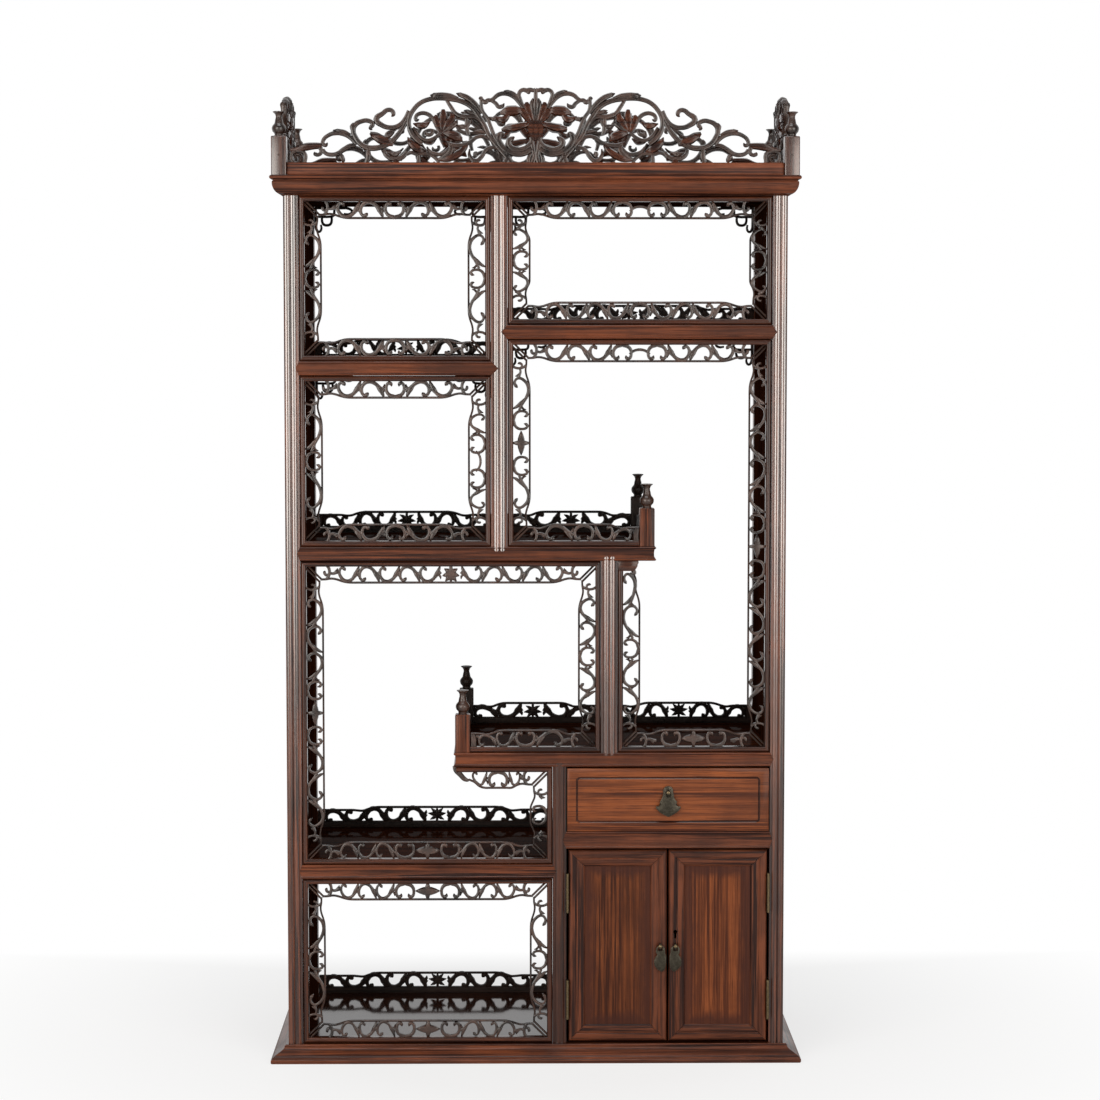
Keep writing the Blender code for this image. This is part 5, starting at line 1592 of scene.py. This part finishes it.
def add_corbel(shape, place):
    """Add the solid bracket under the free end of the middle shelf; gives the stroke of its ball."""
    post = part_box("middle_divider")[1].x + GAP
    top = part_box("middle_shelf")[0].z - GAP
    end = post + CORBEL_LENGTH
    points = [(post, top)]
    points += [(end - x * MM, top - drop * MM) for x, drop in CORBEL_END]
    points.append((post, top - CORBEL_DROP))
    corbel = outline(points)
    stretch(corbel, -CORBEL_HALF, CORBEL_HALF)
    round_edges(corbel, [e for e in corbel.edges if e.calc_face_angle(0) > CORBEL_SHARP], sizes().edge)
    paint(corbel, 1)
    turn_to(corbel, place)
    add_shape(shape, corbel)
    x, z = end - CORBEL_BALL_PLACE * MM, top - CORBEL_DROP
    return [[(x + a * MM, z + b * MM, w * MM) for a, b, w in CORBEL_BALL]]


def horn_strokes():
    """The horn that curls down from the free end of the stepped shelf."""
    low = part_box("stepped_shelf")[0]
    return [[(low.x + x * MM, low.z + z * MM, w * MM) for x, z, w in HORN]]


def add_fret(name, node, ornaments):
    """A carved frame round a cell: mitred bead, corner bars, vines, thin inner bead."""
    path, closed = fret_path(node)
    low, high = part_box(node)
    place = Matrix.Translation((0, (low.y + high.y) / 2, 0)) @ FACING_FRONT
    shape = bmesh.new()
    bead_run(shape, path, closed, sizes().bead_width, FRONT + BEAD_SETBACK, high.y)
    count = len(path) if closed else len(path) - 1
    strokes = []
    for index in range(count):
        start, end = path[index], path[(index + 1) % len(path)]
        to_corner = closed or index < count - 1
        hang = (
            0.0 if node == "tall_right_fret" and index == 0 else None,
            HORN_TIP if node == "wide_left_fret" and index == count - 1 else None,
        )
        band = Band(start, end, closed or index > 0, to_corner, hang)
        strokes += band_strokes(band, ornaments.get(index, "hooks"))
        if to_corner:
            following = Vector(path[(index + 2) % len(path)]) - Vector(end)
            strokes += corner_bars(Vector(end), -band.along, following.normalized())
    if node == "tall_right_fret":
        strokes += add_corbel(shape, place)
    if node == "wide_left_fret":
        strokes += horn_strokes()
    carve(shape, strokes, place, sizes().relief, FRET_SOFTNESS)
    # The cell's beads take the frame's wood darkened as painted shade
    looks = [carved_wood(), bead_wood("X"), bead_wood("Z")]
    settle(name, shape, looks, nodes=[node], crease=CARVED_CREASE)


class CABINET_OT_frets(bpy.types.Operator):
    """Carve the frets round the open cells"""

    bl_idname = "cabinet.frets"
    bl_label = "Frets"

    def execute(self, context):
        for name, node, ornaments in (
            ("upper_left_carving", "upper_left_fret", {}),
            ("second_left_carving", "second_left_fret", {1: "twin"}),
            ("upper_right_carving", "upper_right_fret", {2: "twin"}),
            ("lower_left_carving", "lower_left_fret", {0: "star", 2: "star"}),
            ("tall_right_carving", "tall_right_fret", {1: "star", 2: "star", 3: "twin", 4: "star"}),
            ("wide_left_carving", "wide_left_fret", {2: "leaf", 3: "star", 4: "star"}),
        ):
            add_fret(name, node, ornaments)
        return {"FINISHED"}


def gallery_strokes(start, end, foot):
    """Strands of a low gallery that stands on a shelf."""
    band = Band((start, foot), (end, foot), False, False)
    band.weight = sizes().gallery_weight
    band.bead = sizes().inner_bead * GALLERY_BEAD
    band.step = max(GALLERY_STEP * band.length, PLAIN_STEP)
    band.ornament_scale = GALLERY_LEAF_SCALE
    band.ornament_weight = GALLERY_LEAF_WEIGHT
    return band_strokes(band, "leaf")


def plain_rail(start, end, foot, height, thickness):
    """A plain rail as a flat drawing with its thickness."""
    rail = outline([(start, foot), (end, foot), (end, foot + height), (start, foot + height)])
    stretch(rail, -thickness / 2, thickness / 2)
    return rail


def add_gallery(shape, start, end, foot, thickness, matrix):
    """Add a low gallery to a shape: its solid foot and its strands."""
    rail = plain_rail(start, end, foot, GALLERY_FOOT, thickness)
    tops = [e for e in rail.edges if all(v.co.y > foot + GALLERY_FOOT / 2 for v in e.verts)]
    round_edges(rail, tops, FOOT_ROUNDING)
    turn_to(rail, matrix)
    add_shape(shape, rail)
    carve(shape, gallery_strokes(start, end, foot), matrix, sizes().relief, FRET_SOFTNESS)


def add_post(shape, foot, width, height, finial_look=0):
    """A square post with a turned finial in one of the piece's finishes."""
    half = width / 2
    x, y, z = foot
    post = block((x - half, y - half, z), (x + half, y + half, z + height), 0)
    upper = [e for e in post.edges if max(v.co.z for v in e.verts) > z + height / 2]
    round_edges(post, upper, POST_ROUNDING, segments=3)
    add_shape(shape, post)
    turned = bmesh.new()
    previous = turned.verts.new((FINIAL[0][0] * MM, 0, FINIAL[0][1] * MM))
    for radius, rise in FINIAL[1:]:
        previous = bmesh.ops.extrude_vert_indiv(turned, verts=[previous])["verts"][0]
        previous.co = (radius * MM, 0, rise * MM)
    bmesh.ops.spin(
        turned,
        geom=turned.verts[:] + turned.edges[:],
        cent=(0, 0, 0),
        axis=(0, 0, 1),
        angle=2 * math.pi,
        steps=24,
        use_merge=True,
    )
    bmesh.ops.remove_doubles(turned, verts=turned.verts, dist=MERGED)
    bmesh.ops.recalc_face_normals(turned, faces=turned.faces)
    bmesh.ops.translate(turned, verts=turned.verts, vec=(x, y, z + height))
    paint(turned, finial_look)
    add_shape(shape, turned)


class CABINET_OT_galleries(bpy.types.Operator):
    """Carve the low galleries behind the shelves, with the rear posts of the stepped ones"""

    bl_idname = "cabinet.galleries"
    bl_label = "Galleries"

    def execute(self, context):
        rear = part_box("upper_left_gallery")
        place = Matrix.Translation((0, (rear[0].y + rear[1].y) / 2, 0)) @ FACING_FRONT
        thickness = rear[1].y - rear[0].y
        for word in ("upper_left", "second_left", "upper_right", "stepped_right", "wide_left", "lower_left"):
            node = word + "_gallery"
            low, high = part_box(node)
            shape = bmesh.new()
            add_gallery(shape, low.x, high.x, low.z, thickness, place)
            self.settle_carving(word + "_rear_carving", shape, node)
        for word, side in (("middle", 1), ("stepped", -1)):
            node = word + "_step_gallery"
            low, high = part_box(node)
            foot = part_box(word + "_step_post")[0].z
            post_x = high.x - POST_WIDTH / 2 if side > 0 else low.x + POST_WIDTH / 2
            rear_y = high.y - POST_WIDTH / 2
            start, end = (low.x, post_x) if side > 0 else (post_x, high.x)
            shape = bmesh.new()
            add_gallery(shape, start, end, foot, thickness, place)
            across = Matrix.Translation((post_x, 0, 0)) @ FACING_SIDE
            add_gallery(shape, low.y, rear_y, foot, thickness, across)
            add_post(shape, (post_x, rear_y, foot), POST_WIDTH, POST_HEIGHT)
            self.settle_carving(word + "_step_carving", shape, node)
        return {"FINISHED"}

    def settle_carving(self, name, shape, node):
        """Make a gallery a piece in its finish darkened as painted shade."""
        settle(name, shape, [shaded_carving()], nodes=[node], crease=CARVED_CREASE)


# Crown


def crest_weight(half_width):
    """Half width of a crest stroke in mm: stems gain, pointed tips stay."""
    return half_width + sizes().crest_gain if half_width > STEM_WIDTH else half_width


def crest_strokes(parts):
    """Both halves of a crest about its middle, in metres."""
    strokes = []
    for part in parts:
        for side in (-1, 1):
            strokes.append([(side * x * MM, z * MM, crest_weight(w) * MM) for x, z, w in part])
    return strokes


def gable_parts(half_length):
    """The middle of the crest, with the crest's end scrolls drawn in beside it."""
    shift = CREST_REACH - half_length / MM
    parts = [part for part in CREST_MIDDLE if max(x for x, z, w in part) < GABLE_MIDDLE]
    for part in CREST_END:
        if min(x for x, z, w in part) > GABLE_END_START:
            parts.append([(x - shift, z, w) for x, z, w in part])
    return parts


def carve_crest(shape, strokes, matrix):
    """Carve a crest: dark stems, browner broad leaves, ribs on both."""
    relief = sizes().crest_relief
    broad = [stroke for stroke in strokes if max(point[2] for point in stroke) > LEAF_WIDTH]
    stems = [stroke for stroke in strokes if max(point[2] for point in stroke) <= LEAF_WIDTH]
    leaves = bmesh.new()
    carve(leaves, broad, matrix, relief, CREST_SOFTNESS, smoothness=4)
    add_ridges(leaves, broad, matrix, relief, CREST_SOFTNESS)
    paint(leaves, 2)
    add_shape(shape, leaves)
    carve(shape, stems, matrix, relief, CREST_SOFTNESS, smoothness=4)
    add_ridges(shape, stems, matrix, relief, CREST_SOFTNESS)


def crest_on_rail(half_length, parts, place):
    """A crest with the plain rail under it, drawn flat and stood up at a place."""
    shape = plain_rail(-half_length, half_length, 0, CREST_RAIL, CREST_RAIL_THICKNESS)
    round_edges(shape, shape.edges[:], CREST_RAIL_ROUNDING)
    paint(shape, 1)
    turn_to(shape, place)
    carve_crest(shape, crest_strokes(parts), place @ Matrix.Translation((0, CREST_RAIL, 0)))
    return shape


class CABINET_OT_crown(bpy.types.Operator):
    """Carve the crests of the crown and their corner posts"""

    bl_idname = "cabinet.crown"
    bl_label = "Crown"

    def execute(self, context):
        for word in ("front", "back"):
            node = word + "_pediment"
            low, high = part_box(node)
            place = Matrix.Translation((0, (low.y + high.y) / 2, low.z)) @ FACING_FRONT
            shape = crest_on_rail(high.x, CREST_END + CREST_MIDDLE, place)
            self.settle_crest(word + "_crest", shape, "X", node)
        for word in ("left", "right"):
            node = word + "_gable"
            low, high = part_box(node)
            x = (low.x + high.x) / 2
            front_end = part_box(word + "_corner_post")[1].y + GAP
            rear_end = high.y - POST_WIDTH
            half = (rear_end - front_end) / 2
            place = Matrix.Translation((x, (rear_end + front_end) / 2, low.z)) @ FACING_SIDE
            shape = crest_on_rail(half, gable_parts(half), place)
            add_post(shape, (x, high.y - POST_WIDTH / 2, low.z), POST_WIDTH, POST_HEIGHT)
            self.settle_crest(word + "_side_crest", shape, "Y", node)
        for name, node in (
            ("left_crown_post", "left_corner_post"),
            ("right_crown_post", "right_corner_post"),
            ("middle_shelf_post", "middle_step_post"),
            ("stepped_shelf_post", "stepped_step_post"),
        ):
            low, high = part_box(node)
            foot = ((low.x + high.x) / 2, (low.y + high.y) / 2, low.z)
            shape = bmesh.new()
            add_post(shape, foot, POST_WIDTH, POST_HEIGHT, 1)
            look = frame_wood("Z")
            if "corner" in node:
                look = crown_wood()
                self.add_peg(shape, (foot[0], low.y, low.z + PEG_HEIGHT))
            settle(name, shape, [look, carved_wood()], nodes=[node])
        return {"FINISHED"}

    def settle_crest(self, name, shape, along, node):
        """Make a crest a piece, with its rail's grain along one axis."""
        looks = [carved_wood(), rail_wood(along), leaf_wood()]
        settle(name, shape, looks, nodes=[node], crease=CARVED_CREASE)

    def add_peg(self, shape, place):
        """Add the peg in the front of a corner post."""
        peg = bmesh.new()
        bmesh.ops.create_cone(
            peg,
            cap_ends=True,
            segments=14,
            radius1=PEG_RADII[0],
            radius2=PEG_RADII[1],
            depth=PEG_LENGTH,
            matrix=Matrix.Translation(place) @ FACING_FRONT,
        )
        paint(peg, 1)
        add_shape(shape, peg)


# Rear corner keys


class CABINET_OT_keys(bpy.types.Operator):
    """Model the key-pattern brackets in the rear top corners of the upper cells"""

    bl_idname = "cabinet.keys"
    bl_label = "Rear corner keys"

    def execute(self, context):
        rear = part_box("upper_left_gallery")
        place = Matrix.Translation((0, (rear[0].y + rear[1].y) / 2, 0)) @ FACING_FRONT
        strokes = []
        for word in ("upper_left", "second_left", "upper_right", "tall_right"):
            low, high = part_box(word + "_fret")
            for corner, side in ((low.x, 1), (high.x, -1)):
                for part in KEY:
                    strokes.append([(corner + side * x * MM, high.z - z * MM, w * MM) for x, z, w in part])
        shape = bmesh.new()
        carve(shape, strokes, place, (rear[1].y - rear[0].y) / 2, FRET_SOFTNESS)
        # The keys take the carving darkened as painted shade
        settle("rear_corner_keys", shape, [shaded_carving()])
        return {"FINISHED"}


# Drawer


def front_field(shape):
    """The largest face of a shape that looks to the front."""
    faces = [face for face in shape.faces if face.normal.y < -ALONG]
    return max(faces, key=lambda face: face.calc_area())


class CABINET_OT_drawer(bpy.types.Operator):
    """Model the drawer front with its scribed line, and finish its box"""

    bl_idname = "cabinet.drawer"
    bl_label = "Drawer"

    def execute(self, context):
        low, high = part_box("drawer_front")
        shape = block(low, (high.x, high.y, high.z - DRAWER_PLAY), sizes().edge)
        field = front_field(shape)
        bmesh.ops.inset_region(shape, faces=[field], thickness=SCRIBE_INSET, depth=0)
        bmesh.ops.bevel(
            shape,
            geom=field.verts[:],
            offset=SCRIBE_CORNER,
            offset_type="OFFSET",
            affect="VERTICES",
            segments=4,
            profile=0.5,
            material=-1,
        )
        field = front_field(shape)
        for depth in (-SCRIBE_DEPTH, SCRIBE_DEPTH):
            bmesh.ops.inset_region(shape, faces=[field], thickness=SCRIBE_HALF, depth=depth)
        # The sides of the scribed line take the frame's wood darkened as painted shade in the groove
        centre = (low + high) / 2
        half = (high - low) / 2
        for face in shape.faces:
            spot = face.calc_center_median() - centre
            inside = all(abs(spot[axis]) < half[axis] - DRAWER_MARGIN for axis in (0, 2))
            if inside and abs(face.normal.y) < ALONG:
                face.material_index = 1
        looks = [panel_wood("X"), bead_wood("X")]
        settle("drawer_face", shape, looks, "drawer", ["drawer_front"], crease=25)
        coat_node("drawer_box", lining_wood("Y"))
        return {"FINISHED"}


# Doors


def mitred_member(corners, front, back):
    """One moulded length of a door frame from the corners of its face, outer edge first."""
    outer_start, outer_end, inner_end, inner_start = (Vector(corner) for corner in corners)
    along = (outer_end - outer_start).normalized()
    thickness = back - front
    profile = [(share, depth * MM) for share, depth in FRAME_PROFILE]
    shape = outline(profile + [(1.0, thickness), (0.0, thickness)])
    stretch(shape, 0, 1)
    for corner in shape.verts:
        share, depth, end = corner.co
        outer, inner, turn = (outer_end, inner_end, -1) if end > 0.5 else (outer_start, inner_start, 1)
        spot = outer.lerp(inner, share)
        if share > SEAM_START and depth < thickness / 2:
            spot += along * turn * MITRE_SEAM
        corner.co = (spot.x, front + depth, spot.y)
    shape.normal_update()
    bmesh.ops.recalc_face_normals(shape, faces=shape.faces)
    return shape


def with_keyhole(member):
    """The right door's meeting stile with the keyhole cut through it."""
    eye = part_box("right_door_pull_eye")
    x = (eye[0].x + eye[1].x) / 2
    z = eye[1].z + KEYHOLE_RISE
    low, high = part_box("right_door_frame")
    gap = math.radians(KEYHOLE_GAP)
    start = (x + KEYHOLE_RADIUS * math.sin(gap), z - KEYHOLE_RADIUS * math.cos(gap))
    moves = [("arc", (x, z), 360 - 2 * KEYHOLE_GAP, 12)]
    moves += [("line", (x + side * KEYHOLE_HALF, z - KEYHOLE_DROP)) for side in (-1, 1)]
    hole = drawn(start, moves)
    stretch(hole, -high.y - CUT_RUN, -low.y + CUT_RUN)
    turn_to(hole, FACING_FRONT)
    return cut_away(member, hole)


def door_panel(word, tone):
    """Figured panel wood in a tone of its own, darkened unevenly round the edge of the panel."""
    material, tree, shader = new_finish(word + "_panel_finish")
    low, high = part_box(word + "_door_panel")
    centre = (low + high) / 2
    half = (high - low) / 2
    dark, light = tinted(colours().panel_dark, tone), tinted(colours().panel_light, tone)
    look, pores = wood_tone(tree, "Z", dark, light)[:2]
    places = axes(tree)
    stray = ranged(tree, streaks(tree, (60, 60, 30), 4.0, 0.6), 0.3, 0.7, -BORDER_STRAY, BORDER_STRAY)
    edges = []
    for axis, index in (("X", 0), ("Z", 2)):
        offset = worked(tree, "SUBTRACT", places[axis], centre[index])
        reach = worked(tree, "ADD", worked(tree, "ABSOLUTE", offset, 0.0), stray)
        begun, full = (half[index] - inset for inset in BORDER)
        edges.append(ranged(tree, reach, begun, full, 0.0, BORDER_SHARE))
    border = worked(tree, "MAXIMUM", *edges)
    look = blended(tree, border, look, tinted(colours().rail_dark, BORDER_TONE))
    tree.links.new(look, shader.inputs["Base Color"])
    shader.inputs["Roughness"].default_value = 0.4
    shader.inputs["Specular IOR Level"].default_value = 0.15
    add_bump(tree, shader, ranged(tree, pores, 0.0, 1.0, 1.0, 0.0), 0.25, 0.0004)
    return material


class CABINET_OT_doors(bpy.types.Operator):
    """Model the mitred door frames and their panels"""

    bl_idname = "cabinet.doors"
    bl_label = "Doors"

    def execute(self, context):
        for word, tone in PANEL_TONES:
            low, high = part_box(word + "_door_frame")
            outer = [(low.x, low.z), (high.x, low.z), (high.x, high.z), (low.x, high.z)]
            sides = [(1, 1), (-1, 1), (-1, -1), (1, -1)]
            inner = [(x + a * DOOR_FRAME, z + b * DOOR_FRAME) for (x, z), (a, b) in zip(outer, sides)]
            shape = bmesh.new()
            for first in (0, 2, 3, 1):
                last = (first + 1) % 4
                corners = [outer[first], outer[last], inner[last], inner[first]]
                member = mitred_member(corners, low.y, high.y)
                if word == "right" and first == 3:
                    member = with_keyhole(member)
                paint(member, first % 2)
                add_shape(shape, member)
            looks = [frame_wood("X"), frame_wood("Z")]
            settle(word + "_framing", shape, looks, word + "_door", [word + "_door_frame"])
            coat_node(word + "_door_panel", door_panel(word, tone))
        return {"FINISHED"}


# Metalwork


def doubled(half):
    """A whole outline in metres from its right half in mm, depths downward."""
    right = [(x * MM, -z * MM) for x, z in half]
    return right + [(-x, z) for x, z in reversed(right)]


def flat_plate(points, thickness):
    """A flat plate with softened edges about its eye."""
    shape = outline(points)
    stretch(shape, -thickness / 2, thickness / 2)
    rim = [e for e in shape.edges if e.calc_face_angle(0) > PLATE_SHARP]
    round_edges(shape, rim, thickness * PLATE_ROUNDING)
    return shape


def add_pin_head(shape, place):
    """Add a domed round pin head that faces the front."""
    dome = bmesh.new()
    bmesh.ops.create_uvsphere(dome, u_segments=16, v_segments=10, radius=PIN_RADIUS)
    bmesh.ops.scale(dome, vec=(1, PIN_FLATNESS, 1), verts=dome.verts)
    bmesh.ops.translate(dome, vec=place, verts=dome.verts)
    paint(dome, 1)
    add_shape(shape, dome)


class CABINET_OT_metalwork(bpy.types.Operator):
    """Model the drop pulls with their eyes, and finish the hinges"""

    bl_idname = "cabinet.metalwork"
    bl_label = "Metalwork"

    def execute(self, context):
        joints = {joint["name"]: joint for joint in frame["joints"]}
        for word in ("drawer", "left_door", "right_door"):
            x, y, z = joints[word + "_pull_swing"]["pos_m"]
            if word == "drawer":
                points = doubled(DRAWER_DROP)
            else:
                side = 1 if word == "left_door" else -1
                points = [(side * out * MM, -down * MM) for out, down in DOOR_DROP]
            slot = block((-PIN_ROOM, -SLOT_ENDS[1], -CUT_RUN), (PIN_ROOM, -SLOT_ENDS[0], CUT_RUN), 0)
            plate = cut_away(flat_plate(points, DROP_THICKNESS), slot)
            turn_to(plate, Matrix.Translation((x, y, z)) @ FACING_FRONT)
            settle(word + "_drop", plate, [bronze()], word + "_pull", [word + "_pull"])
            coat_node(word + "_pull_eye", bronze())
            heads = bmesh.new()
            if word == "drawer":
                head = flat_plate(doubled(DRAWER_HEAD), HEAD_THICKNESS)
                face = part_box("drawer_front")[0].y
                turn_to(head, Matrix.Translation((x, face - HEAD_STAND_OFF, z)) @ FACING_FRONT)
                add_shape(heads, head)
            add_pin_head(heads, (x, y - PIN_STAND_OFF, z + PIN_RISE))
            settle(word + "_pin", heads, [bronze(), brass()], word)
        for side in ("left", "right"):
            for level in ("upper", "lower"):
                coat_node(side + "_" + level + "_hinge_leaf", brass())
                coat_node(side + "_" + level + "_door_leaf", brass())
        return {"FINISHED"}


# Stage


def seen_rays(tree):
    """One for rays from the camera, and one for those that are mirrored or passed on."""
    path = tree.nodes.new("ShaderNodeLightPath")
    mirrored = worked(tree, "MAXIMUM", path.outputs["Is Glossy Ray"], path.outputs["Is Transmission Ray"])
    return path.outputs["Is Camera Ray"], mirrored


class CABINET_OT_stage(bpy.types.Operator):
    """Set the pale floor, the soft lights and the camera"""

    bl_idname = "cabinet.stage"
    bl_label = "Stage"

    def execute(self, context):
        scene = context.scene
        scene.view_settings.view_transform = "Standard"
        self.lay_floor(scene)
        self.set_world(scene)
        self.hang_lamps(scene)
        self.place_camera(scene)
        return {"FINISHED"}

    def lay_floor(self, scene):
        """A wide pale floor that shows white to the camera and keeps the shadow."""
        shape = bmesh.new()
        bmesh.ops.create_grid(shape, x_segments=1, y_segments=1, size=FLOOR_HALF)
        mesh = bpy.data.meshes.new("floor")
        shape.to_mesh(mesh)
        shape.free()
        material, tree, shader = new_finish("pale_floor")
        shader.inputs["Base Color"].default_value = (*colours().floor, 1.0)
        shader.inputs["Roughness"].default_value = 0.85
        place = tree.nodes.new("ShaderNodeTexCoord")
        distance = tree.nodes.new("ShaderNodeVectorMath")
        distance.operation = "LENGTH"
        tree.links.new(place.outputs["Object"], distance.inputs[0])
        behind = ranged(tree, axes(tree)["Y"], *WHITE_BEHIND, 0.0, 1.0)
        away = ranged(tree, distance.outputs["Value"], *WHITE_AWAY, WHITE_LEAST, 1.0)
        camera, mirrored = seen_rays(tree)
        direct = worked(tree, "MULTIPLY", worked(tree, "MAXIMUM", behind, away), camera)
        share = worked(tree, "MAXIMUM", direct, worked(tree, "MULTIPLY", behind, mirrored))
        white = add_node(tree, "ShaderNodeEmission", Color=(1.0, 1.0, 1.0, 1.0), Strength=1.0)
        mixed = tree.nodes.new("ShaderNodeMixShader")
        tree.links.new(share, mixed.inputs["Fac"])
        tree.links.new(shader.outputs["BSDF"], mixed.inputs[1])
        tree.links.new(white.outputs["Emission"], mixed.inputs[2])
        tree.links.new(mixed.outputs["Shader"], tree.nodes["Material Output"].inputs["Surface"])
        mesh.materials.append(material)
        floor = bpy.data.objects.new("floor", mesh)
        scene.collection.objects.link(floor)

    def set_world(self, scene):
        """Soft light all round; white to the camera, and in reflections of what lies behind the cabinet."""
        world = bpy.data.worlds.new("studio")
        world.use_nodes = True
        scene.world = world
        tree = world.node_tree
        background = tree.nodes["Background"]
        background.inputs["Color"].default_value = (1.0, 1.0, 1.0, 1.0)
        behind = ranged(tree, axes(tree, "Generated")["Y"], 0.0, 0.5, 0.0, 1.0)
        camera, mirrored = seen_rays(tree)
        seen = worked(tree, "MAXIMUM", camera, worked(tree, "MULTIPLY", behind, mirrored))
        strength = ranged(tree, seen, 0.0, 1.0, WORLD_LIGHT, 1.0)
        tree.links.new(strength, background.inputs["Strength"])

    def hang_lamps(self, scene):
        """Soft lamps before the cabinet and over it."""
        for name, place, aim, size, power, tint in LAMPS:
            lamp = bpy.data.lights.new(name, "AREA")
            lamp.shape = "RECTANGLE"
            lamp.size, lamp.size_y = size
            lamp.energy = power
            lamp.color = tint
            holder = bpy.data.objects.new(name, lamp)
            holder.location = place
            holder.rotation_euler = (Vector(aim) - Vector(place)).to_track_quat("-Z", "Y").to_euler()
            scene.collection.objects.link(holder)

    def place_camera(self, scene):
        """The camera before the cabinet, tilted down a little."""
        camera = bpy.data.cameras.new("camera")
        camera.sensor_width = CAMERA_SENSOR
        camera.lens = CAMERA_LENS
        camera.clip_end = CAMERA_LIMIT
        holder = bpy.data.objects.new("camera", camera)
        holder.location = (CAMERA_X, FRONT - CAMERA_DISTANCE, CAMERA_HEIGHT)
        holder.rotation_euler = (math.radians(90 - CAMERA_TILT), 0, math.radians(-CAMERA_TURN))
        scene.collection.objects.link(holder)
        scene.camera = holder


class CABINET_PT_panel(bpy.types.Panel):
    """The steps of dressing the cabinet"""

    bl_idname = "CABINET_PT_panel"
    bl_label = "Cabinet"
    bl_space_type = "VIEW_3D"
    bl_region_type = "UI"
    bl_category = "Cabinet"

    def draw(self, context):
        for step in STEPS:
            self.layout.operator(step.bl_idname)


STEPS = (
    CABINET_OT_base_and_cornice,
    CABINET_OT_uprights,
    CABINET_OT_boards,
    CABINET_OT_frets,
    CABINET_OT_galleries,
    CABINET_OT_crown,
    CABINET_OT_keys,
    CABINET_OT_drawer,
    CABINET_OT_doors,
    CABINET_OT_metalwork,
    CABINET_OT_stage,
)
CLASSES = (CabinetSizes, CabinetColours, *STEPS, CABINET_PT_panel)


def register():
    for item in CLASSES:
        bpy.utils.register_class(item)
    bpy.types.Scene.cabinet_sizes = PointerProperty(type=CabinetSizes)
    bpy.types.Scene.cabinet_colours = PointerProperty(type=CabinetColours)


def unregister():
    del bpy.types.Scene.cabinet_colours
    del bpy.types.Scene.cabinet_sizes
    for item in reversed(CLASSES):
        bpy.utils.unregister_class(item)


def main():
    """Dress the cabinet and set the stage."""
    register()
    bpy.ops.cabinet.base_and_cornice()
    bpy.ops.cabinet.uprights()
    bpy.ops.cabinet.boards()
    bpy.ops.cabinet.frets()
    bpy.ops.cabinet.galleries()
    bpy.ops.cabinet.crown()
    bpy.ops.cabinet.keys()
    bpy.ops.cabinet.drawer()
    bpy.ops.cabinet.doors()
    bpy.ops.cabinet.metalwork()
    bpy.ops.cabinet.stage()


if __name__ == "__main__":
    main()
